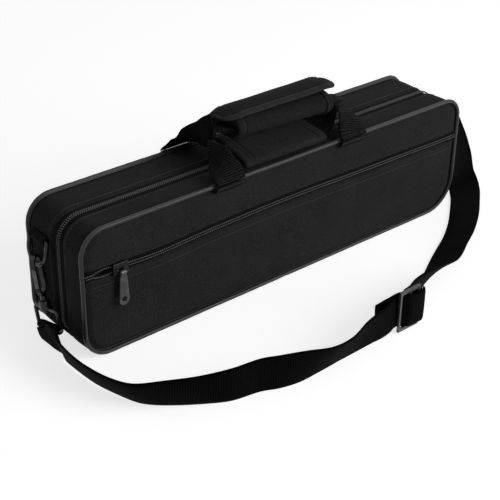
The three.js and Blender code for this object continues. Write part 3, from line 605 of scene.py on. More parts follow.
# Geometry Nodes: one small shape repeated along a path, with its spacing as an input
def repeatTree():
    tree = bpy.data.node_groups.new("repeatAlong", "GeometryNodeTree")
    for name in ("Geometry", "Spacing", "Item", "Finish"):
        kind = {"Spacing": "Float", "Item": "Object", "Finish": "Material"}.get(name, name)
        tree.interface.new_socket(name, in_out="INPUT", socket_type="NodeSocket" + kind)
    tree.interface.new_socket("Geometry", in_out="OUTPUT", socket_type="NodeSocketGeometry")
    entry, leave, resample, item, instance, tangent, normal, turn, realize, finish = [
        tree.nodes.new(kind) for kind in (
            "NodeGroupInput", "NodeGroupOutput", "GeometryNodeResampleCurve", "GeometryNodeObjectInfo",
            "GeometryNodeInstanceOnPoints", "GeometryNodeInputTangent", "GeometryNodeInputNormal",
            "FunctionNodeAxesToRotation", "GeometryNodeRealizeInstances", "GeometryNodeSetMaterial",
        )
    ]
    resample.mode = "LENGTH"
    turn.primary_axis = "X"
    turn.secondary_axis = "Z"
    for source, output, target, socket in (
        (entry, "Geometry", resample, "Curve"),
        (entry, "Spacing", resample, "Length"),
        (entry, "Item", item, "Object"),
        (resample, "Curve", instance, "Points"),
        (item, "Geometry", instance, "Instance"),
        (tangent, 0, turn, "Primary Axis"),
        (normal, 0, turn, "Secondary Axis"),
        (turn, 0, instance, "Rotation"),
        (instance, "Instances", realize, "Geometry"),
        (realize, "Geometry", finish, "Geometry"),
        (entry, "Finish", finish, "Material"),
        (finish, "Geometry", leave, "Geometry"),
    ):
        tree.links.new(source.outputs[output], target.inputs[socket])
    return tree


repeatGroup = repeatTree()
repeatInputs = {
    socket.name: socket.identifier
    for socket in repeatGroup.interface.items_tree
    if socket.item_type == "SOCKET" and socket.in_out == "INPUT"
}


def curveAlong(name, points, normals):
    # A poly curve whose tilt makes its normal follow the given directions
    data = bpy.data.curves.new(name, "CURVE")
    data.dimensions = "3D"
    data.twist_mode = "Z_UP"
    spline = data.splines.new("POLY")
    spline.points.add(len(points) - 1)
    for i, (point, wanted) in enumerate(zip(points, normals)):
        spline.points[i].co = (*(point * mm), 1)
        along = (points[min(i + 1, len(points) - 1)] - points[max(i - 1, 0)]).normalized()
        flat = along.cross(zAxis)
        if flat.length < 0.001:
            flat = xAxis.copy()
        flat.normalize()
        spline.points[i].tilt = math.atan2(wanted.dot(along.cross(flat)), wanted.dot(flat))
    return placed(name, data)


def repeated(name, points, normals, spacing, item, material):
    curve = curveAlong(name + "Path", points, normals)
    modifier = curve.modifiers.new("repeat", "NODES")
    modifier.node_group = repeatGroup
    for label, entry in (("Spacing", spacing * mm), ("Item", item), ("Finish", material)):
        modifier[repeatInputs[label]] = entry
    mesh = evaluatedMesh(curve)
    bpy.data.objects.remove(curve)
    return placed(name, mesh)


# Stitches and zip teeth: small rounded sticks along X, sunk a little into what carries them.
# A size is a length, a width and a height; a ring is a place along X and a share of the width.
itemShape = {
    "stitch": (2.4, 0.5, 0.7),
    "mainTooth": (1.15, 1.2, 1.5),
    "pocketTooth": (1.15, 1.1, 1.4),
    "rings": ((-0.5, 0.35), (-0.36, 0.85), (0, 1), (0.36, 0.85), (0.5, 0.35)),
    "sides": 6,
    "sunk": 0.3,
}


def itemMesh(kind):
    length, width, height = itemShape[kind]
    rings, sides = itemShape["rings"], itemShape["sides"]
    vertices, faces = [], []
    for x, share in rings:
        for k in range(sides):
            angle = 2 * math.pi * k / sides
            vertices.append((
                x * length, width / 2 * share * math.cos(angle),
                height * (share * 0.5 * math.sin(angle) + 0.5 - itemShape["sunk"]),
            ))
    for near in range(0, (len(rings) - 1) * sides, sides):
        for k in range(sides):
            a, b = near + k, near + (k + 1) % sides
            faces.append((a, b, b + sides, a + sides))
    faces.append(tuple(range(sides)))
    faces.append(tuple((len(rings) - 1) * sides + k for k in range(sides)))
    item = tidyNormals(newPiece(kind + "Item", vertices, faces, thread))
    item.hide_render = True
    return item


stitchItem, mainToothItem, pocketToothItem = [
    itemMesh(kind) for kind in ("stitch", "mainTooth", "pocketTooth")
]
stitches = {}


def stitchRow(body, points, normals, spacing=3.1):
    rows = stitches.setdefault(body, [])
    if isinstance(normals, Vector):
        normals = [normals] * len(points)
    rows.append(repeated(f"{body}Stitches{len(rows)}", points, normals, spacing, stitchItem, thread))


# Shoulder strap; the lengths of its two routes are printed
strapSetup = {
    "width": 30,
    "thickness": 1.8,
    "clearance": 1.2,
    "stepsPerRow": 5,
    "wave": 0.5,
    "cup": 0.5,
    "curl": (0.4, 1.2, 120, 55),   # the least hollow, what the curl adds, its place and spread
    "exitLong": (-0.2219, 0.0046, 0.0172),
    "exitShort": (0.2219, 0.031, 0.0172),
}
longFloorRows = [
    (-221.5, -31, 20), (-221.5, -50, 25), (-219.3, -70, 28), (-214.5, -89, 30), (-208, -106, 27),
    (-196, -120, 18), (-175, -134.8, 11), (-154, -147, 2), (-130, -151.5, 0), (-115.6, -157.7, 0),
    (-98.7, -161.6, 6), (-77, -161, 22), (-54.7, -160, 24), (-31.8, -159.3, 12), (-8.2, -159.6, 4),
]
shortFloorRows = [
    (52, -138.5, 12), (66, -129.5, 26), (84, -118.5, 44), (101, -108.5, 60),
    (118, -99, 66), (135.4, -90, 65), (153.5, -80.9, 65), (170.8, -70.4, 65), (187.1, -58.8, 65),
    (203.1, -46, 64), (218, -33.5, 63), (230, -21.5, 58), (242, -9, 50), (268, 11, 36), (299, 37, 20),
    (331, 70, 10), (343, 87, 6), (342, 99, 4), (332, 106, 2), (312, 106.5, 0), (288, 100, 0),
    (264, 90, -4), (244, 78, -8), (230, 66, -12),
]


def floorEdge(rows):
    # x and y of the lower edge and the outward lean in degrees become full rows
    half = strapSetup["width"] / 2
    result = []
    for i, (x, y, lean) in enumerate(rows):
        before, after = rows[max(i - 1, 0)], rows[min(i + 1, len(rows) - 1)]
        out = Vector((after[1] - before[1], before[0] - after[0])).normalized()
        angle = math.radians(lean)
        across = (out.x * math.sin(angle), out.y * math.sin(angle), math.cos(angle))
        centre = [low + way * half for low, way in zip((x, y, strapSetup["clearance"]), across)]
        result.append((*centre, *across, 1))
    return result


strapLongRows = [
    (-221.9, 4.6, 17.2, 0, -0.95, 0.3, 0.78),
    (-222.1, 2.2, 13.2, 0, -0.85, 0.5, 0.7),
    (-222.4, -4, 12.4, -0.05, -0.6, 0.8, 0.72),
    (-222.8, -12, 14.2, -0.2, -0.35, 0.9, 0.86),
    (-222.9, -21, 15.2, -0.25, -0.15, 0.95, 0.96),
    *floorEdge(longFloorRows),
    (0, -159.8, 18.2, 0, 0, 1, 1),
    (6, -158.4, 19.2, 0, 0, 1, 1),
    (10.5, -158.4, 19.6, 0, 0, 1, 1),
    (14.5, -161.6, 19.7, 0, 0, 1, 1),
    (18.5, -164.3, 19.8, 0, 0, 1, 1),
    (24, -164.6, 19.8, 0, 0, 1, 1),
    (31.5, -164.6, 19.8, 0, 0, 1, 1),
    (34.6, -163.6, 19.8, 0, 0, 1, 1),
    (35.3, -161.6, 19.8, 0, 0, 1, 1),
]
strapTailRows = [
    (35, -161, 19.8, 0, 0, 1, 1),
    (34, -159.2, 19.8, 0, 0, 1, 1),
    (31, -158.3, 19.8, 0, 0, 1, 1),
    (20, -158, 19.8, 0, 0, 1, 1),
    (12, -155.9, 19.6, 0, 0, 1, 1),
    (4, -155.2, 18.4, 0, 0, 1, 1),
    (-1, -154.6, 17.2, 0, 0.02, 1, 1),
    (-6, -154.4, 16.4, 0, 0.04, 1, 1),
    (-11, -154.6, 16.3, 0, 0.05, 1, 1),
]
strapShortRows = [
    (19, -155.6, 19.8, 0, 0, 1, 1),
    (28, -154, 19.6, 0, 0, 1, 1),
    (40, -147.5, 17.5, 0.04, -0.06, 1, 1),
    *floorEdge(shortFloorRows),
    (222.9, 56.6, 15.2, 0.25, 0.15, 0.95, 1),
    (222.8, 47.6, 14.2, 0.2, 0.35, 0.9, 1),
    (222.4, 39.6, 12.4, 0.05, 0.6, 0.8, 1),
    (222.1, 33.4, 13.2, 0, 0.85, 0.5, 1),
    (221.9, 31, 17.2, 0, 0.95, 0.3, 1),
]


def strapStations(rows):
    stations = []
    for centre, along, across, share in bandStations(rows, strapSetup["stepsPerRow"]):
        lowest = strapSetup["clearance"] + abs(across.z) * strapSetup["width"] / 2
        stations.append((Vector((centre.x, centre.y, max(centre.z, lowest))), along, across, share))
    return stations


def routeLength(stations):
    return sum((b[0] - a[0]).length for a, b in zip(stations, stations[1:])) * mm


def curledCup(travelled):
    # The left stretch curls over along its upper edge
    least, more, place, spread = strapSetup["curl"]
    return least + more * bell(travelled - place, spread)


def makeStrap(name, rows, cup, wave, seed, node):
    stations = strapStations(rows)
    band = bandMesh(
        name, stations, strapSetup["width"], strapSetup["thickness"], strapWebbing, cup, wave, seed,
    )
    return dressed(band, "case_back", "webbing", node), stations


strapLong, longStations = makeStrap(
    "strapLongBand", strapLongRows, curledCup, strapSetup["wave"], 1, "strap_long",
)
strapTail, _ = makeStrap("strapTailBand", strapTailRows, 0.2, 0.1, 2, "strap_tail")
strapShort, shortStations = makeStrap(
    "strapShortBand", strapShortRows, strapSetup["cup"], strapSetup["wave"], 3, "strap_short",
)
glide = softCopy("strapAdjuster", "tri_glide", 0.35, 6, adjusterPlastic, 0.5)
dressed(glide, "case_back", "adjuster", "tri_glide")
routeLength(longStations)
[tuple(station[0] * mm) for station in longStations]
routeLength(shortStations)
[tuple(station[0] * mm) for station in shortStations]
print("strap made", round(routeLength(longStations), 4), round(routeLength(shortStations), 4))


# The case's rounded outline in X and Z
shell = {
    "left": -210,
    "right": 210,
    "depth": 74.4,
    "top": 113.6,
    "pipingRadius": 2.1,
    "radii": (23, 31, 19, 21.7),   # lower left, lower right, upper right, upper left
    "zipStart": 12.3,
    "step": 3.2,
    "fineStep": 2.6,
    "cornerFineness": 0.6,
}
halfDepth = shell["depth"] / 2


def corners(inset, bottomInset=None):
    low = shell["pipingRadius"] + (inset if bottomInset is None else bottomInset)
    left, right, high = shell["left"] + inset, shell["right"] - inset, shell["top"] - inset
    a, b, c, d = [radius - inset for radius in shell["radii"]]
    return [
        (left + a, low + a, a, math.pi), (right - b, low + b, b, 1.5 * math.pi),
        (right - c, high - c, c, 0), (left + d, high - d, d, math.pi / 2),
    ]


def outline(inset, bottomInset=None, step=shell["step"]):
    places = []
    for x, z, radius, start in corners(inset, bottomInset):
        count = max(8, int(radius * math.pi / 2 / (step * shell["cornerFineness"])))
        for i in range(count + 1):
            angle = start + i / count * math.pi / 2
            places.append(Vector((x + radius * math.cos(angle), 0, z + radius * math.sin(angle))))
    filled = []
    for i, place in enumerate(places):
        nextPlace = places[(i + 1) % len(places)]
        parts = max(1, int((nextPlace - place).length / step))
        filled.extend(place.lerp(nextPlace, k / parts) for k in range(parts))
    normals = []
    for i in range(len(filled)):
        along = (filled[(i + 1) % len(filled)] - filled[i - 1]).normalized()
        normals.append(Vector((along.z, 0, -along.x)))
    return filled, normals


def zipPath(inset, y, step=shell["step"]):
    # The outline's run over the ends and the top, from the right end's foot to the left end's
    places, normals = outline(inset, None, step)
    kept = [i for i in range(len(places)) if places[i].z > shell["zipStart"]]
    start = next(k for k in range(len(kept)) if kept[k - 1] != (kept[k] - 1) % len(places))
    order = kept[start:] + kept[:start]
    return [Vector((places[i].x, y, places[i].z)) for i in order], [normals[i] for i in order]


def insideDepth(x, z, inset):
    spots = corners(inset)
    left, right = shell["left"] + inset, shell["right"] - inset
    low, high = shell["pipingRadius"] + inset, shell["top"] - inset
    for k, (cx, cz, radius, _) in enumerate(spots):
        outX = (cx - x) if k in (0, 3) else (x - cx)
        outZ = (cz - z) if k in (0, 1) else (z - cz)
        if outX > 0 and outZ > 0:
            return radius - math.hypot(outX, outZ)
    return min(x - left, right - x, z - low, high - z)


def sideLimits(z, inset):
    spots = corners(inset)
    limits = []
    for lower, upper, sign, limit in (
        (spots[0], spots[3], -1, shell["left"] + inset), (spots[1], spots[2], 1, shell["right"] - inset),
    ):
        for (cx, cz, radius, _), below in ((lower, True), (upper, False)):
            rise = (cz - z) if below else (z - cz)
            if rise > 0:
                limit = cx + sign * math.sqrt(max(radius * radius - rise * rise, 0))
        limits.append(limit)
    return limits


def keptAboveFloor(piece):
    for vertex in piece.data.vertices:
        vertex.co.z = max(vertex.co.z, 0)
    return piece


# Piping: a glossy vinyl cord round each broad side, its two ends butted under the front edge
piping = {
    "buttPlace": -5,
    "buttBelow": 6,
    "buttSpread": 2.2,
    "buttDip": 0.28,
    "wobble": (0.22, 0.03, 1, 0.03),
    "beading": 0.05,
    "beadRate": 1.7,
    "slimming": 0.86,
    "seamIn": 2.1,
    "flangeHalf": 0.4,
    "flangeIn": 1.9,
    "flangeOut": 0.1,
    "flangeRound": 0.2,
}


def makePiping(name, y, node, body):
    places, normals = outline(0)
    slim = shell["pipingRadius"] * piping["slimming"]
    points = []
    for place, normal in zip(places, normals):
        shift = wrinkle(piping["wobble"], place.x, y, place.z) - piping["wobble"][0]
        point = Vector((place.x, y, place.z)) + normal * shift
        point.z = max(point.z, slim)
        points.append(point)

    def radius(i):
        place = points[i]
        isButt = y < 0 and place.z < piping["buttBelow"]
        butt = bell(place.x - piping["buttPlace"], piping["buttSpread"]) if isButt else 0
        bead = piping["beading"] * math.sin(i * piping["beadRate"])
        return slim * (1 - piping["buttDip"] * butt) + bead

    cord = tubeMesh(name + "Cord", points, radius, vinyl, yAxis)
    seamY = y - math.copysign(piping["seamIn"], y)
    flat = [(Vector((p.x, seamY, p.z)), n, yAxis) for p, n in zip(points, normals)]
    half, low, high = piping["flangeHalf"], -piping["flangeIn"], piping["flangeOut"]
    strip = [(low, -half), (high, -half), (high + piping["flangeRound"], 0), (high, half), (low, half)]
    seam = keptAboveFloor(loft(name + "Seam", flat, lambda i: strip, vinyl, True))
    dressed(joined(name, [cord, seam]), body, "piping", node)


makePiping("frontPipingCord", -halfDepth, "front_piping", "lid")
makePiping("backPipingCord", halfDepth, "back_piping", "case_back")
print("piping made")

# Side walls: padded fabric with a stitched hem along the zip
wall = {
    "inset": 1,
    "thickness": 3.7,
    "puff": 0.55,
    "puffEnd": 1.1,
    "wrinkle": (0.45, 0.022, 0.03, 0.03),
    "wrinkleShift": 4,
    "crease": (0.16, 0.11, 0.1, 0.11),
    "hem": 5.2,
    "hemRise": 0.35,
    "hemStep": 0.8,
    "edgeDrop": 0.9,
    "seamDrop": 0.7,
    "seamShare": 0.07,
    "grooveDepth": 0.35,
    "grooveSpread": 0.55,
    "stitchIn": 1.4,
    "stitchSunk": 0.05,
    "steps": 16,
    "seatY": 34.8,
    "zipFrom": (11, 13.5),
    "floorBelow": 1.2,
    "floorRise": 0.02,
}


def makeWall(name, side, zipEdge, seamEdge, node, body):
    places, normals = outline(wall["inset"], -shell["pipingRadius"], shell["fineStep"])
    seat, hem, thick = side * wall["seatY"], wall["hem"], wall["thickness"]
    stitchFrom = hem - wall["stitchIn"]

    def section(i):
        place = places[i]
        edge = seamEdge + (zipEdge - seamEdge) * smoothShare(place.z, *wall["zipFrom"])
        result = []
        for k in range(wall["steps"] + 1):
            v = k / wall["steps"]
            y = seat + (edge - seat) * v
            fromEdge = abs(edge - y)
            rise = wall["puff"] * math.sin(math.pi * min(v * wall["puffEnd"], 1))
            rise += wrinkle(wall["wrinkle"], place.x, y, place.z, side * wall["wrinkleShift"])
            rise += wrinkle(wall["crease"], place.x, y, place.z)
            rise += wall["hemRise"] * (1 - smoothShare(fromEdge, hem - wall["hemStep"], hem))
            rise -= wall["edgeDrop"] * (1 - smoothShare(fromEdge, 0, wall["edgeDrop"]))
            rise -= wall["seamDrop"] * (1 - smoothShare(v, 0, wall["seamShare"]))
            rise -= wall["grooveDepth"] * bell(fromEdge - stitchFrom, wall["grooveSpread"])
            if place.z < wall["floorBelow"]:
                rise = min(rise, wall["floorRise"])
            result.append((rise, y))
        return [*result, (-thick, edge), (-thick, seat)]

    frames = [(p, n, yAxis) for p, n in zip(places, normals)]
    piece = keptAboveFloor(loft(name, frames, section, fabric, True))
    dressed(piece, body, "fabric_shell", node)
    inset, y = wall["inset"] - wall["stitchSunk"], zipEdge + side * stitchFrom
    stitchRow(body, *zipPath(inset, y, shell["fineStep"]))


makeWall("frontSideWall", -1, -10.5, -4.15, "front_gusset", "lid")
makeWall("backSideWall", 1, 3.5, -3.85, "back_gusset", "case_back")
print("side walls made")

# Main zip: two tapes and two rows of nylon teeth
mainZip = {
    "tapeInset": 2.6,
    "tapeThickness": 1,
    "tapeCrown": 0.1,
    "toothInset": 1.75,
    "pitch": 1.9,
    "offset": 0.25,   # the second row's start, as a share of the way to the path's next point
}


def makeMainZip(name, yOuter, yInner, toothY, shift, nodes, body):
    low, high = min(yOuter, yInner), max(yOuter, yInner)
    frames = [(p, n, yAxis) for p, n in zip(*zipPath(mainZip["tapeInset"], 0))]
    thick = mainZip["tapeThickness"]
    section = [
        (-thick, low), (0, low), (mainZip["tapeCrown"], (low + high) / 2), (0, high), (-thick, high),
    ]
    tape = loft(name + "Tape", frames, lambda i: section, zipCloth)
    dressed(tape, body, "zip_tape", nodes[0])
    rowPath, rowOut = zipPath(mainZip["toothInset"], toothY)
    if shift:
        rowPath = [a.lerp(b, mainZip["offset"]) for a, b in zip(rowPath, rowPath[1:])]
        rowOut = rowOut[:-1]
    teeth = repeated(name + "Teeth", rowPath, rowOut, mainZip["pitch"], mainToothItem, zipNylon)
    dressed(teeth, body, "zip_coil", nodes[1])


makeMainZip("frontMainZip", -11.4, -4.15, -5.25, False, ("front_zip_tape", "front_zip_teeth"), "lid")
makeMainZip("backMainZip", -3.85, 4.4, -2.75, True, ("back_zip_tape", "back_zip_teeth"), "case_back")
print("main zip made")

# Broad panels, with the pocket's zip running across the front. The zip's waves, the hem, the
# seam and the fold are each a height or depth, a place and a spread.
panels = {
    "inset": 2.4,
    "edgeOut": 35.9,
    "faceOut": 38.1,
    "roll": (-0.5, 5.5),   # these four are depths from the edge, where each begins and is full
    "puff": (2, 26),
    "wrinkled": (1, 12),
    "creased": (1, 8),
    "wrinkle": (0.55, 0.016, 0, 0.03),
    "crease": (0.22, 0.06, 0, 0.05),
    "pocketLow": 4.5,
    "pocketHigh": 72.1,
    "upperLow": 79.9,
    "upperHigh": 111.2,
    "zipHeight": 76,
    "zipWaves": ((-1.9, -140, 34), (1.9, -5, 75), (-0.8, 190, 40)),
    "hem": (0.55, 2.2, 1.5),
    "hemSink": (1.9, 1.1),   # depth and reach
    "seam": (0.55, 7.2, 0.7),
    "fold": (0.5, 2, 2.6),
    "foldLean": 0.12,
    "foldMiddle": 40,
    "foldFrom": (10, 30),
    "pocketSoft": (0.9, 3.1),   # how far the middle puffs out, and a seed
    "upperSoft": (0.3, 8.7),
    "backSoft": (0.5, 15.3),
    "stitch": (3.0, 0.05),   # spacing, and how far it stands out
    "columns": 150,
}


def zipWave(x):
    return sum(height * bell(x - place, spread) for height, place, spread in panels["zipWaves"])


def eased(u):
    # Even in the middle, closer together at both ends
    return u * (1.5 - 0.5 * u * u)


def closedGrid(name, front, back, material):
    rows, columns = len(front), len(front[0])
    vertices = [point for grid in (front, back) for row in grid for point in row]
    offset = rows * columns
    faces = []
    for r in range(rows - 1):
        for c in range(columns - 1):
            a = r * columns + c
            faces.append((a, a + 1, a + 1 + columns, a + columns))
            faces.append((offset + a, offset + a + columns, offset + a + 1 + columns, offset + a + 1))
    rim = list(range(columns))
    rim += [r * columns + columns - 1 for r in range(1, rows)]
    rim += [(rows - 1) * columns + c for c in range(columns - 2, -1, -1)]
    rim += [r * columns for r in range(rows - 2, 0, -1)]
    for i, a in enumerate(rim):
        b = rim[(i + 1) % len(rim)]
        faces.append((a, offset + a, offset + b, b))
    return tidyNormals(newPiece(name, vertices, faces, material))


def makePanel(name, side, low, high, rows, outAt, lowWave, highWave, innerOut, body, node):
    # outAt(x, z, depth) gives how far the face stands out from the case's middle plane
    front, back = [], []
    for r in range(rows + 1):
        share = 0.5 + eased(-1 + 2 * r / rows) / 2
        flatZ = low + (high - low) * share
        left, right = sideLimits(flatZ, panels["inset"])
        frontRow, backRow = [], []
        for c in range(panels["columns"] + 1):
            u = eased(-1 + 2 * c / panels["columns"])
            x = (left + right) / 2 + (right - left) / 2 * u
            z = flatZ + zipWave(x) * (lowWave * (1 - share) + highWave * share)
            depth = insideDepth(x, z, panels["inset"])
            frontRow.append(Vector((x, side * outAt(x, z, depth), z)))
            backRow.append(Vector((x, side * innerOut, z)))
        front.append(frontRow)
        back.append(backRow)
    dressed(closedGrid(name, front, back, fabric), body, "fabric_shell", node)


def softFace(x, z, depth, puff, seed):
    edge, face = panels["edgeOut"], panels["faceOut"]
    out = edge + (face - edge) * smoothShare(depth, *panels["roll"])
    out += puff * smoothShare(depth, *panels["puff"])
    out += wrinkle(panels["wrinkle"], x, 0, z, seed) * smoothShare(depth, *panels["wrinkled"])
    out += wrinkle(panels["crease"], x, 0, z, seed + 5) * smoothShare(depth, *panels["creased"])
    return out


def zipHem(distance):
    # A rolled hem beside the zip, sinking to the tape at its very edge
    height, place, spread = panels["hem"]
    sink, reach = panels["hemSink"]
    return height * bell(distance - place, spread) - sink * (1 - smoothShare(distance, 0, reach))


def pocketOut(x, z, depth):
    fromZip = panels["pocketHigh"] + zipWave(x) - z
    out = softFace(x, z, depth, *panels["pocketSoft"]) + zipHem(fromZip)
    height, place, spread = panels["seam"]
    out -= height * bell(fromZip - place, spread)
    height, place, spread = panels["fold"]
    lean = (z - panels["foldMiddle"]) * panels["foldLean"]
    return out - height * bell(x - place + lean, spread) * smoothShare(fromZip, *panels["foldFrom"])


def upperOut(x, z, depth):
    fromZip = z - panels["upperLow"] - zipWave(x)
    return softFace(x, z, depth, *panels["upperSoft"]) + zipHem(fromZip)


def backOut(x, z, depth):
    return softFace(x, z, depth, *panels["backSoft"])


makePanel(
    "pocketFace", -1, panels["pocketLow"], panels["pocketHigh"], 44, pocketOut, 0, 1, 36.2,
    "lid", "pocket_panel",
)
makePanel(
    "upperFace", -1, panels["upperLow"], panels["upperHigh"], 26, upperOut, 1, 0, 35.1,
    "lid", "front_panel_upper",
)
makePanel(
    "backFace", 1, panels["pocketLow"], panels["upperHigh"], 60, backOut, 0, 0, 35.1,
    "case_back", "back_panel",
)
spacing, proud = panels["stitch"]
seamPath = []
for x in range(-200, 201, 4):
    z = panels["pocketHigh"] + zipWave(x) - panels["seam"][1]
    out = pocketOut(x, z, insideDepth(x, z, panels["inset"]))
    seamPath.append(Vector((x, -out - proud, z)))
stitchRow("lid", seamPath, -yAxis, spacing)
print("panels made")

# Pocket zip: tapes and teeth that part along a short open stretch at the left
pocketZip = {
    "left": -207.3,
    "right": 207.3,
    "openFrom": -200.3,
    "openTo": -180.3,
    "openHalf": 1.9,
    "openBlunt": 0.7,
    "gap": 0.2,
    "rowHalf": 1.15,
    "tapeOut": 37.1,
    "tapeThickness": 1,
    "tapeCrown": 0.1,
    "tapeReach": 5.2,
    "pitch": 1.9,
    "toothOut": 37.9,
    "steps": 150,
}


def openingAt(x):
    share = (x - pocketZip["openFrom"]) / (pocketZip["openTo"] - pocketZip["openFrom"])
    if share <= 0 or share >= 1:
        return 0
    return pocketZip["openHalf"] * math.sin(math.pi * share) ** pocketZip["openBlunt"]


def makePocketZip(name, upward, shift, nodes):
    left, right, steps = pocketZip["left"], pocketZip["right"], pocketZip["steps"]
    frames, inner = [], []
    for i in range(steps + 1):
        x = left + (right - left) * i / steps
        frames.append((Vector((x, 0, panels["zipHeight"] + zipWave(x))), -yAxis, zAxis))
        inner.append(pocketZip["gap"] + openingAt(x))
    out, reach = pocketZip["tapeOut"], pocketZip["tapeReach"]
    under, edge = out - pocketZip["tapeThickness"], out - pocketZip["tapeCrown"]

    def section(i):
        near, far = upward * inner[i], upward * reach
        return [(under, near), (out, near), (edge, far), (under, far)]

    tape = loft(name + "Tape", frames, section, zipCloth)
    dressed(tape, "lid", "zip_tape", nodes[0])
    points = []
    for i in range(steps * 2 + 1):
        x = left + (right - left) * i / steps / 2 + shift
        z = panels["zipHeight"] + zipWave(x) + upward * (pocketZip["rowHalf"] + openingAt(x))
        points.append(Vector((min(x, right), -pocketZip["toothOut"], z)))
    outward = [-yAxis] * len(points)
    teeth = repeated(name + "Teeth", points, outward, pocketZip["pitch"], pocketToothItem, zipNylon)
    dressed(teeth, "lid", "zip_coil", nodes[1])


makePocketZip("upperPocketZip", 1, 0, ("pocket_zip_tape_upper", "pocket_zip_teeth_upper"))
makePocketZip("lowerPocketZip", -1, 0.95, ("pocket_zip_tape_lower", "pocket_zip_teeth_lower"))
for zipName in ("pocket", "main"):
    for kind, material, voxel in (("slider", blackMetal, 0.32), ("pull", pullMetal, 0.3)):
        node = f"{zipName}_{kind}"
        dressed(softCopy(node + "Smooth", node, voxel, 4, material), node + "_body", "dark_metal", node)
print("pocket zip made")

# Carrying handles: webbing routes in shares of the leg's offset, the reach in and the rise
handles = {
    "width": 30,
    "thickness": 1.6,
    "stepsPerRow": 6,
    "cup": 0.25,
    "wave": 0.35,
    "pivotY": 41,
    "pivotZ": 114.6,
    "frontOffset": 68.6,
    "frontReach": 27.5,
    "frontRise": 28,
    "backOffset": 64,
    "backReach": 51,
    "backRise": 31.6,
    "overrun": 5,
    "anchorLength": 4.8,
    "anchorTuck": 1.3,
    "anchorDrop": 1.1,
    "anchorRows": ((0.35, 0.15), (0.8, 0.85)),   # how far down, and how far tucked in
    "stitch": (2.6, 0.05),   # spacing, and how far it stands out
}
frontLeftShares = [
    (-1, 0, 0, 1, 0, 0, 1),
    (-1, 0.09, 0.18, 1, -0.1, 0.1, 0.97),
    (-1, 0.36, 0.4, 0.8, -0.55, 0.2, 0.8),
    (-0.975, 0.62, 0.6, 0.35, -0.9, 0.25, 0.64),
    (-0.95, 0.8, 0.71, 0.05, -1, 0, 0.56),
    (-0.89, 0.94, 0.76, -0.05, -1, 0, 0.6),
    (-0.83, 1, 0.68, 0, -1, 0, 0.75),
    (-0.81, 1, 0.54, 0, -1, -0.1, 0.95),
    (-0.78, 1, 0.4, 0, -1, -0.18, 1),
]
frontRightShares = [
    (0.79, 1, 0.34, 0, -1, -0.1, 1),
    (0.89, 0.98, 0.47, -0.1, -1, 0.05, 0.85),
    (0.975, 0.91, 0.6, -0.3, -0.9, 0.15, 0.7),
    (1.035, 0.76, 0.68, -0.6, -0.7, 0.15, 0.62),
    (1.05, 0.54, 0.62, -0.85, -0.35, 0.15, 0.7),
    (1.035, 0.29, 0.42, -0.97, -0.1, 0.1, 0.87),
    (1, 0.09, 0.2, -1, 0, 0, 1),
    (1, 0, 0, -1, 0, 0, 1),
]
backLeftShares = [
    (-0.97, 0, 0, 1, 0, 0, 1),
    (-0.97, 0.06, 0.1, 1, -0.05, 0, 1),
    (-0.94, 0.2, 0.24, 0.8, -0.6, 0.1, 0.95),
    (-0.915, 0.41, 0.42, 0.3, -0.9, 0.2, 0.88),
    (-0.93, 0.64, 0.72, 0.05, -0.8, -0.4, 0.68),
    (-0.91, 0.87, 1.06, 0.3, -0.8, -0.5, 0.6),
]
backRightShares = [
    (1.02, 0.97, 0.86, 0.15, -1, 0, 0.9),
    (1.08, 0.82, 0.8, 0.6, -0.8, 0.05, 0.8),
    (1.125, 0.63, 0.66, 0.85, -0.5, 0.1, 0.85),
    (1.117, 0.39, 0.4, 0.97, -0.2, 0, 0.95),
    (1.07, 0.18, 0.24, 1, -0.05, 0, 1),
    (1.031, 0.06, 0.13, 1, 0, 0, 1),
    (1.031, 0, 0, 1, 0, 0, 1),
]


def handleRows(shares, kind):
    side = {"front": -1, "back": 1}[kind]
    offset, reach, rise = [handles[kind + size] for size in ("Offset", "Reach", "Rise")]
    rows = []
    for x, y, z, ax, ay, az, share in shares:
        across = Vector((ax, ay, az)).normalized()
        place = (x * offset, side * (handles["pivotY"] - y * reach), handles["pivotZ"] + z * rise)
        rows.append((*place, *across, share))
    return rows


def handleBand(kind, leftShares, middle, rightShares, seed):
    rows = [*handleRows(leftShares, kind), *middle, *handleRows(rightShares, kind)]
    band = bandMesh(
        f"{kind}HandleBand", bandStations(rows, handles["stepsPerRow"]), handles["width"],
        handles["thickness"], handleWebbing, handles["cup"], handles["wave"], seed,
    )
    dressed(band, f"{kind}_handle", "webbing", f"{kind}_handle_webbing")
    return rows


def throughShares(length):
    # Quarters of a grip's length, and a place just outside each end
    beyond = handles["overrun"] / length
    return [-beyond, 0, 0.25, 0.5, 0.75, 1, 1 + beyond]


def gripShares(edges, start, span):
    # Along the outside, closer together at both hems, then back through the slot
    middle = [start + span * k / 26 for k in range(27)]
    outer = [*edges, *middle, *(1 - share for share in reversed(edges))]
    return [(share, True) for share in outer] + [(1 - k / 6, False) for k in range(7)]


def flatRound(c, s):
    # A circle's point moved out towards a flat oblong's
    return math.copysign(abs(c) ** 0.5, c), math.copysign(abs(s) ** 0.62, s)


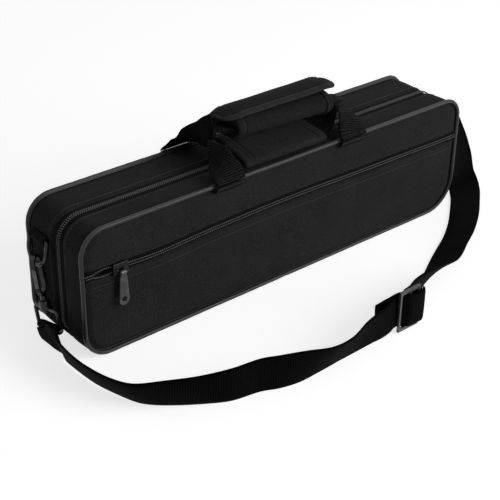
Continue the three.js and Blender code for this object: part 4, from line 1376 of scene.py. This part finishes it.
# Front grip: a flat padded sleeve, its webbing running through it
grip = {
    "left": -47,
    "right": 42,
    "halfWidth": 21.75,
    "halfThickness": 4.6,
    "riseLeft": 10.2,
    "riseRight": 7.8,
    "tiltLeft": 12.8,
    "tiltRight": 5,
    "slotHalf": 15.6,
    "slotThickness": 1.35,
    "hem": 9.5,
    "hemStep": 0.3,
    "stitchIn": 1.6,
    "wrinkle": (0.5, 9, 2.4, 2),
    "crease": (0.28, 26, 3.5, 6),
    "bulge": (0.1, 18, 8),
    "sideSeam": (0.5, 0.955, 0.02),
    "lip": 1.1,
    "groove": 0.6,
    "wider": (0.01, -0.03),   # at the hem and the lip, as shares of the width
    "thinner": (0.12, 0.3, 0.2),   # at the hem, the lip and the groove, as shares of the thickness
    "hemCalm": 0.6,
    "edges": (0, 0.004, 0.012, 0.03, 0.06, 0.092, 0.099, 0.106, 0.113, 0.12, 0.13, 0.15),
    "middle": (0.17, 0.66),
    "points": 48,
    "stitch": (2.9, 0.9),   # spacing, and where in the pad's thickness
}
gripMiddleY = -handles["pivotY"] + handles["frontReach"]


def gripPlace(share):
    tilt = math.radians(grip["tiltLeft"] + share * (grip["tiltRight"] - grip["tiltLeft"]))
    centre = Vector((
        grip["left"] + share * (grip["right"] - grip["left"]), gripMiddleY,
        shell["top"] + grip["riseLeft"] + share * (grip["riseRight"] - grip["riseLeft"]),
    ))
    across = Vector((0, math.cos(tilt), math.sin(tilt)))
    return centre, across, Vector((0, -math.sin(tilt), math.cos(tilt)))


def makeGrip():
    length, hemLine, step = grip["right"] - grip["left"], grip["hem"], grip["hemStep"]
    shares = gripShares(grip["edges"], *grip["middle"])
    hemWide, lipWide = grip["wider"]
    hemThin, lipThin, grooveThin = grip["thinner"]
    more, bulgePlace, bulgeSpread = grip["bulge"]
    depth, seamPlace, seamSpread = grip["sideSeam"]

    def section(i):
        share, isOuter = shares[i]
        fromEnd = min(share, 1 - share) * length
        hem = 1 - smoothShare(fromEnd, hemLine - step, hemLine + step)
        lip = 1 - smoothShare(fromEnd, 0, grip["lip"])
        groove = bell(fromEnd - hemLine - grip["groove"], grip["groove"])
        half = grip["halfWidth"] * (1 + hemWide * hem + lipWide * lip)
        thick = grip["halfThickness"] * (1 - hemThin * hem - lipThin * lip - grooveThin * groove)
        thick *= 1 + more * bell(fromEnd - bulgePlace, bulgeSpread)
        calm = 1 - hem * grip["hemCalm"]
        result = []
        for k in range(grip["points"]):
            angle = 2 * math.pi * k / grip["points"]
            c, s = math.cos(angle), math.sin(angle)
            flatU, flatV = flatRound(c, s)
            if isOuter:
                seam = depth * bell(abs(flatU) - seamPlace, seamSpread)
                rise = wrinkle(grip["wrinkle"], share, flatU, math.copysign(1, s))
                rise += wrinkle(grip["crease"], share, flatU, 1)
                result.append((flatU * half, flatV * (thick + rise * calm - seam)))
            else:
                result.append((flatU * grip["slotHalf"], flatV * grip["slotThickness"]))
        return result

    piece = loft("frontGripPad", [gripPlace(share) for share, _ in shares], section, fabric, True)
    dressed(piece, "front_handle", "fabric_shell", "front_grip_pad")
    stitchFrom = hemLine - grip["stitchIn"]
    spacing, height = grip["stitch"]
    for fromEnd in (stitchFrom, length - stitchFrom):
        centre, across, up = gripPlace(fromEnd / length)
        for face in (1, -1):
            rise = face * (grip["halfThickness"] * height)
            row = [centre + across * u + up * rise for u in range(-17, 18, 2)]
            stitchRow("front_handle", row, up * face, spacing)
    rows = []
    for share in throughShares(length):
        centre, across, _ = gripPlace(share)
        rows.append((*centre, *(-across), 1))
    return rows


handleBand("front", frontLeftShares, makeGrip(), frontRightShares, 4)
print("front handle made")

# Back grip: a padded roll with a flap that closes over both handles
rollSetup = {
    "shift": 4.3,
    "rise": 31.6,
    "tilt": 3,
    "length": 104.5,
    "halfDepth": 17,
    "halfHeight": 10.5,
    "binding": 7.2,
    "bindingStep": 0.3,
    "stitchIn": 5.6,
    "stitch": (2.8, 0.1),   # spacing, and how far it stands out
    "wrinkle": (0.45, 7, 1.6, 1.6),
    "crease": (0.22, 22, 3, 3),
    "lip": 1.3,
    "lipDrop": 0.9,
    "boundRise": 0.35,
    "openDrop": 0.3,
    "groove": (0.8, 0.8, 0.7),   # depth, place beyond the binding, spread
    "sunk": 0.2,
    "edges": (0, 0.004, 0.012, 0.03, 0.05, 0.066, 0.072, 0.078, 0.084, 0.09, 0.1, 0.12),
    "middle": (0.14, 0.72),
    "points": 48,
}
rollCentre = Vector((
    rollSetup["shift"], handles["pivotY"] - handles["backReach"], shell["top"] + rollSetup["rise"],
))
rollTurn = Matrix.Rotation(math.radians(rollSetup["tilt"]), 3, "Y")
rollDepth, rollHeight = rollSetup["halfDepth"], rollSetup["halfHeight"]


def rollPlace(along, angle, out):
    # The point on the roll's own oval, out from its face, and the way that it faces
    a = math.radians(angle)
    point = Vector((along, (rollDepth + out) * math.cos(a), (rollHeight + out) * math.sin(a)))
    return point, Vector((0, math.cos(a) / rollDepth, math.sin(a) / rollHeight))


def rollPoint(along, angle, out):
    return rollCentre + rollTurn @ rollPlace(along, angle, out)[0]


def makeRoll():
    length, binding, step = rollSetup["length"], rollSetup["binding"], rollSetup["bindingStep"]
    shares = gripShares(rollSetup["edges"], *rollSetup["middle"])
    grooveDepth, groovePlace, grooveSpread = rollSetup["groove"]
    axis, up = rollTurn @ xAxis, rollTurn @ zAxis
    frames = [(rollCentre + axis * ((share - 0.5) * length), yAxis, up) for share, _ in shares]

    def section(i):
        share, isOuter = shares[i]
        fromEnd = min(share, 1 - share) * length
        bound = 1 - smoothShare(fromEnd, binding - step, binding + step)
        base = rollSetup["boundRise"] * bound - rollSetup["openDrop"] * (1 - bound) - rollSetup["sunk"]
        base -= rollSetup["lipDrop"] * (1 - smoothShare(fromEnd, 0, rollSetup["lip"]))
        base -= grooveDepth * bell(fromEnd - binding - groovePlace, grooveSpread)
        result = []
        for k in range(rollSetup["points"]):
            angle = 2 * math.pi * k / rollSetup["points"]
            c, s = math.cos(angle), math.sin(angle)
            if isOuter:
                rise = sum(wrinkle(rollSetup[kind], share, c, s) for kind in ("wrinkle", "crease"))
                grow = base + rise * (1 - bound)
                result.append(((rollDepth + grow) * c, (rollHeight + grow) * s))
            else:
                flatU, flatV = flatRound(c, s)
                result.append((flatU * grip["slotHalf"], flatV * grip["slotThickness"]))
        return result

    piece = loft("wrapRoll", frames, section, smoothFabric, True)
    dressed(piece, "back_handle", "fabric_shell", "wrap_roll")
    angles = range(0, 361, 6)
    spacing, proud = rollSetup["stitch"]
    for along in (-length / 2 + rollSetup["stitchIn"], length / 2 - rollSetup["stitchIn"]):
        row = [rollPoint(along, angle, proud) for angle in angles]
        outward = [(rollTurn @ rollPlace(along, angle, 0)[1]).normalized() for angle in angles]
        stitchRow("back_handle", row, outward, spacing)
    return [
        (*(rollCentre + axis * ((share - 0.5) * length)), 0, -1, 0, 1) for share in throughShares(length)
    ]


backRows = handleBand("back", backLeftShares, makeRoll(), backRightShares, 5)

# Flap and its closing patches. The flap leans about the roll's left end and runs on forward from
# the crown, where its "turn" counts on past 90 degrees as a level run.
flap = {
    "patchOffsets": (0.3, 1.2),
    "patchThickness": 0.6,
    "patchTurns": (62, 28),   # the first, and how many degrees on
    "patchIn": 12,
    "offset": 2.1,
    "thickness": 1.7,
    "lift": 3,
    "backTurn": -20,
    "shoulderTurn": 45,
    "shoulderEase": (-6, 8),
    "lipTurn": 150,
    "reach": 15,
    "droop": (1.6, 1.5),   # at the lip, and how late it sets in
    "lipLean": 0.16,
    "topLow": -62.25,
    "topHigh": 58.25,
    "backHalf": 51,
    "leftCorner": 15,
    "rightCorner": 10,
    "endsFrom": 42,
    "endBend": 0.011,
    "wrinkle": (0.4, 0.03, 0.02, 11),
    "calm": (20, 0.4),   # up to this turn the wrinkles have this share of their height
    "bindingWidth": 4.6,
    "stitchIn": 1.2,
    "stitch": (2.9, 1.5),   # spacing, and how far above the binding's middle
}
flapTurn = Matrix.Rotation(math.radians(-flap["lift"]), 3, "Y")


def flapPlace(along, turn, out):
    if turn <= 90:
        point, normal = rollPlace(along, turn, out)
    else:
        share = (turn - 90) / (flap["lipTurn"] - 90)
        most, power = flap["droop"]
        point = Vector((along, -flap["reach"] * share, rollHeight + out - most * share ** power))
        normal = Vector((0, -flap["lipLean"] * share, 1))
    left = Vector((-rollSetup["length"] / 2, 0, 0))
    local = left + flapTurn @ (point - left)
    return rollCentre + rollTurn @ local, (rollTurn @ flapTurn @ normal).normalized()


def flapLimits(turn):
    share = smoothShare(turn, *(flap["shoulderTurn"] + ease for ease in flap["shoulderEase"]))
    low = -flap["backHalf"] + (flap["topLow"] + flap["backHalf"]) * share
    high = flap["backHalf"] + (flap["topHigh"] - flap["backHalf"]) * share
    fromLip = (flap["lipTurn"] - turn) * flap["reach"] / (flap["lipTurn"] - 90)
    insets = []
    for corner in (flap["leftCorner"], flap["rightCorner"]):
        near = min(max(1 - fromLip / corner, 0), 1)
        insets.append(corner * (1 - math.sqrt(max(1 - near * near, 0))))
    return low + insets[0], high - insets[1]


def flapRise(along, turn):
    bend = flap["endBend"] * max(abs(along) - flap["endsFrom"], 0) ** 2
    calmTurn, calm = flap["calm"]
    return wrinkle(flap["wrinkle"], along, turn, 1) * (1 if turn > calmTurn else calm) - bend


def makeFlap():
    span = flap["lipTurn"] - flap["backTurn"]
    turns = [flap["backTurn"] + span * (0.5 + eased(-1 + k / 32) / 2) for k in range(65)]
    front, back = [], []
    for turn in turns:
        low, high = flapLimits(turn)
        alongs = [(low + high) / 2 + (high - low) / 2 * eased(-1 + c / 30) for c in range(61)]
        for grid, out in ((front, flap["offset"] + flap["thickness"]), (back, flap["offset"])):
            grid.append([flapPlace(along, turn, out + flapRise(along, turn))[0] for along in alongs])
    cloth = closedGrid("flapCloth", front, back, smoothFabric)
    sideTurns = [turn for turn in turns if turn > flap["shoulderTurn"] - 8]
    low, high = flapLimits(flap["lipTurn"])
    edge = [(flapLimits(turn)[0], turn) for turn in sideTurns]
    edge += [(low + (high - low) * k / 40, flap["lipTurn"]) for k in range(1, 40)]
    edge += [(flapLimits(turn)[1], turn) for turn in reversed(sideTurns)]
    middle = flap["offset"] + flap["thickness"] / 2
    places = [flapPlace(along, turn, middle + flapRise(along, turn)) for along, turn in edge]
    centre = flapPlace(0, 95, middle)[0]
    frames = []
    for i, (point, normal) in enumerate(places):
        tangent = (places[min(i + 1, len(places) - 1)][0] - places[max(i - 1, 0)][0]).normalized()
        inward = normal.cross(tangent).normalized()
        if inward.dot(centre - point) < 0:
            inward = -inward
        frames.append((point, inward, normal))
    w = flap["bindingWidth"]
    section = [
        (-0.9, 0), (-0.75, 0.75), (-0.2, 1.25), (0.8, 1.5), (w * 0.5, 1.55), (w - 0.5, 1.45), (w, 1.0),
        (w, -1.0), (w - 0.5, -1.2), (0.8, -1.2), (-0.2, -1.0), (-0.75, -0.6),
    ]
    rim = loft("flapBinding", frames, lambda i: section, bindingCloth)
    dressed(joined("wrapFlap", [cloth, rim]), "flap", "fabric_shell", "wrap_flap")
    spacing, proud = flap["stitch"]
    reach = w - flap["stitchIn"]
    row = [origin + inward * reach + normal * proud for origin, inward, normal in frames]
    stitchRow("flap", row, [station[2] for station in frames], spacing)


makeFlap()


def makePatch(name, offset, place, node, body):
    first, span = flap["patchTurns"]
    turns = [first + span * k / 12 for k in range(13)]
    half = rollSetup["length"] / 2 - flap["patchIn"]
    grids = [
        [[place(-half + 2 * half * c / 40, turn, out) for c in range(41)] for turn in turns]
        for out in (offset + flap["patchThickness"], offset)
    ]
    dressed(closedGrid(name, *grids, hookLoop), body, "lining", node)


makePatch("loopPatchPile", flap["patchOffsets"][0], rollPoint, "loop_patch", "back_handle")
makePatch(
    "hookPatchHooks", flap["patchOffsets"][1], lambda along, turn, out: flapPlace(along, turn, out)[0],
    "hook_patch", "flap",
)


# The webbing's sewn ends, each with two rows of stitches
def makeAnchor(name, x, side, node, body):
    top = handles["pivotZ"] - handles["anchorDrop"]
    length, tuck, y = handles["anchorLength"], handles["anchorTuck"], handles["pivotY"]
    rows = [
        (x, side * (y - inward), top - drop, 1, 0, 0, 1)
        for inward, drop in ((tuck, length), (0, length / 2), (0, 0))
    ]
    band = bandMesh(name, bandStations(rows, 5), handles["width"], handles["thickness"], handleWebbing)
    dressed(band, body, "webbing", node)
    spacing, proud = handles["stitch"]
    for down, inward in handles["anchorRows"]:
        out = y - tuck * inward + handles["thickness"] / 2 + proud
        row = [Vector((x + u, side * out, top - length * down)) for u in range(-13, 14, 2)]
        stitchRow(body, row, yAxis * side, spacing)


for kind, side, body, leftX, rightX in (
    ("front", -1, "lid", -handles["frontOffset"], handles["frontOffset"]),
    ("back", 1, "case_back", backRows[0][0], backRows[-1][0]),
):
    makeAnchor(kind + "AnchorLeftBand", leftX, side, kind + "_anchor_left", body)
    makeAnchor(kind + "AnchorRightBand", rightX, side, kind + "_anchor_right", body)
print("back handle made")

# End fittings: tab, D-ring, snap hook with its gate, swivel loop and the strap's sewn end
fitting = {
    "backOffset": 17.8,
    "tabWidth": 21,
    "tabThickness": 1.15,
    "tabPath": (
        (211.05, 94), (211.4, 93.4), (213.4, 92.3), (214.9, 91.1), (215.35, 89.4), (214.6, 87.6),
        (212.65, 86.8), (210.8, 87.5), (209.95, 89.5), (209.92, 91.8), (209.92, 94),
    ),
    "tabStitches": (211.95, 93.3, 2, 2.5),   # x and z, the margin at both edges, the spacing
    "ringHang": 89.5,
    "axisX": 212.65,
    "ringWire": 1.7,
    "ringHalf": 12.5,
    "ringHeight": 22,
    "ringCorner": 2.6,
    "ringSwing": 10,
    "hookSlant": 14.7,
    "loopBar": -54.2,
    "loopWire": 1.7,
    "loopGap": 0.3,
    "sleeveThickness": 1.8,
    "sleeveSteps": 28,
}


def ringPath():
    # A flat top, two small corners and a half circle below
    half, bend = fitting["ringHalf"], fitting["ringCorner"]
    drop = fitting["ringHeight"] - half
    corner = [math.pi / 2 * k / 6 for k in range(7)]
    path = [(0, -half + bend + (2 * half - 2 * bend) * k / 6, 0) for k in range(7)]
    path += [(0, half - bend + bend * math.sin(a), -bend + bend * math.cos(a)) for a in corner[1:]]
    for k in range(29):
        a = math.pi * k / 28
        path.append((0, half * math.cos(a), -drop - half * math.sin(a)))
    path += [(0, -half + bend - bend * math.cos(a), -bend + bend * math.sin(a)) for a in corner[:-1]]
    return path


def makeEnd(name, turn):
    base = Matrix.Translation((0, fitting["backOffset"], 0)) @ Matrix.Rotation(turn, 4, "Z")
    outward, across = base.to_3x3() @ xAxis, base.to_3x3() @ yAxis
    rows = [(*(base @ Vector((x, 0, z))), *across, 1) for x, z in fitting["tabPath"]]
    tab = bandMesh(
        f"{name}TabBand", bandStations(rows, 5), fitting["tabWidth"], fitting["tabThickness"],
        handleWebbing,
    )
    dressed(tab, "case_back", "webbing", f"tab_{name}")
    x, z, margin, spacing = fitting["tabStitches"]
    half = fitting["tabWidth"] / 2 - margin
    row = [base @ Vector((x, -half + half * k / 5, z)) for k in range(11)]
    stitchRow("case_back", row, outward, spacing)

    swing = Matrix.Rotation(math.radians(-fitting["ringSwing"]), 4, "Y")
    hang = Vector((fitting["axisX"], 0, fitting["ringHang"]))
    ringFrame = base @ Matrix.Translation(hang) @ swing
    path = [ringFrame @ Vector(point) for point in ringPath()]
    side = (ringFrame.to_3x3() @ xAxis).normalized()
    ring = tubeMesh(f"{name}RingWire", path, fitting["ringWire"], blackMetal, side)
    dressed(ring, f"{name}_ring", "dark_metal", f"d_ring_{name}")
    for label, node, voxel, rounds, material, slim, body in (
        ("SnapHook", "hook", 0.3, 5, blackMetal, 0.3, "ring"),
        ("HookGate", "gate", 0.3, 4, pullMetal, 0, "gate"),
        ("SwivelLoop", "swivel_loop", 0.34, 6, blackMetal, 0, "loop"),
    ):
        piece = softCopy(name + label, f"{node}_{name}", voxel, rounds, material, slim)
        dressed(piece, f"{name}_{body}", "dark_metal", f"{node}_{name}")

    hangPoint = swing @ Vector((0, 0, -fitting["ringHeight"])) + hang
    slant = Matrix.Rotation(math.radians(fitting["hookSlant"]), 4, "X")
    hanger = base @ Matrix.Translation(hangPoint) @ slant
    radius = fitting["loopWire"] + fitting["loopGap"] + fitting["sleeveThickness"] / 2
    barSide = (hanger.to_3x3() @ yAxis).normalized()
    stations = []
    for k in range(fitting["sleeveSteps"]):
        angle = 2 * math.pi * k / fitting["sleeveSteps"]
        local = Vector((radius * math.cos(angle), 0, fitting["loopBar"] + radius * math.sin(angle)))
        tangent = hanger.to_3x3() @ Vector((-math.sin(angle), 0, math.cos(angle)))
        stations.append((hanger @ local, tangent, barSide, 1))
    sleeve = bandMesh(
        f"{name}StrapSleeve", stations, strapSetup["width"], fitting["sleeveThickness"], strapWebbing,
        closed=True,
    )
    dressed(sleeve, f"{name}_loop", "webbing", f"strap_loop_{name}")


makeEnd("left", math.pi)
makeEnd("right", 0)
print("end fittings made")

# Inside: fitted tray, padded lid and the pocket's own back wall
for node, body, voxel, rounds in (
    ("foam_tray", "case_back", 1.9, 6), ("lid_foam_pad", "lid", 1.9, 6), ("pocket_back", "lid", 1.2, 2),
):
    piece = softCopy(node + "Plush", node, voxel, rounds, plush)
    dressed(piece, body, "lining", node)
print("lining made")

for body, rows in stitches.items():
    dressed(joined(f"{body}Stitching", rows), body, "webbing")
for item in (stitchItem, mainToothItem, pocketToothItem):
    bpy.data.objects.remove(item)
print("stitching joined")

# Floor, world and lamps: the floor drops in millimetres, the rest is in metres and watts
studio = {
    "floorSize": 12,
    "floorDrop": 0.5,
    "floorTone": (0.72, 0.72, 0.72),
    "floorGlow": 0.72,
    "floorRoughness": 0.9,
    "floorSpecular": 0.1,
    "keyPower": 30,
    "keyPlace": (0.95, -1.75, 0.95),
    "keySize": 1.5,
    "rimPower": 1.2,
    "rimPlace": (-1.1, 1.3, 1.4),
    "rimSize": 0.8,
    "aim": (0, 0, 0.05),
    "fill": 0.17,
}


def makeStudio(setup):
    half, drop, glow = setup["floorSize"] / mm / 2, -setup["floorDrop"], setup["floorGlow"]
    corner = [(-half, -half, drop), (half, -half, drop), (half, half, drop), (-half, half, drop)]
    look = Look("floorPaper")
    look.set({
        "Base Color": setup["floorTone"],
        "Roughness": setup["floorRoughness"],
        "Specular IOR Level": setup["floorSpecular"],
        "Emission Color": look.blend(look.seen(), (0, 0, 0), (glow, glow, glow)),
        "Emission Strength": 1,
    })
    floor = newPiece("floor", corner, [(0, 1, 2, 3)], look.material, False)

    world = bpy.data.worlds.new("studioLight")
    bpy.context.scene.world = world
    sky = Nodes(world)
    light, backdrop = [
        sky.node("ShaderNodeBackground", {}, {0: (1, 1, 1), 1: strength}).outputs[0]
        for strength in (setup["fill"], 1)
    ]
    both = sky.node("ShaderNodeMixShader", {}, {0: sky.seen(), 1: light, 2: backdrop})
    sky.node("ShaderNodeOutputWorld", {}, {"Surface": both.outputs[0]})

    for name in ("key", "rim"):
        data = bpy.data.lights.new(name, "AREA")
        data.energy = setup[name + "Power"]
        data.size = setup[name + "Size"]
        lamp = placed(name, data)
        lamp.location = setup[name + "Place"]
        aim = Vector(setup["aim"]) - lamp.location
        lamp.rotation_euler = aim.to_track_quat("-Z", "Y").to_euler()


makeStudio(studio)
print("scene finished")
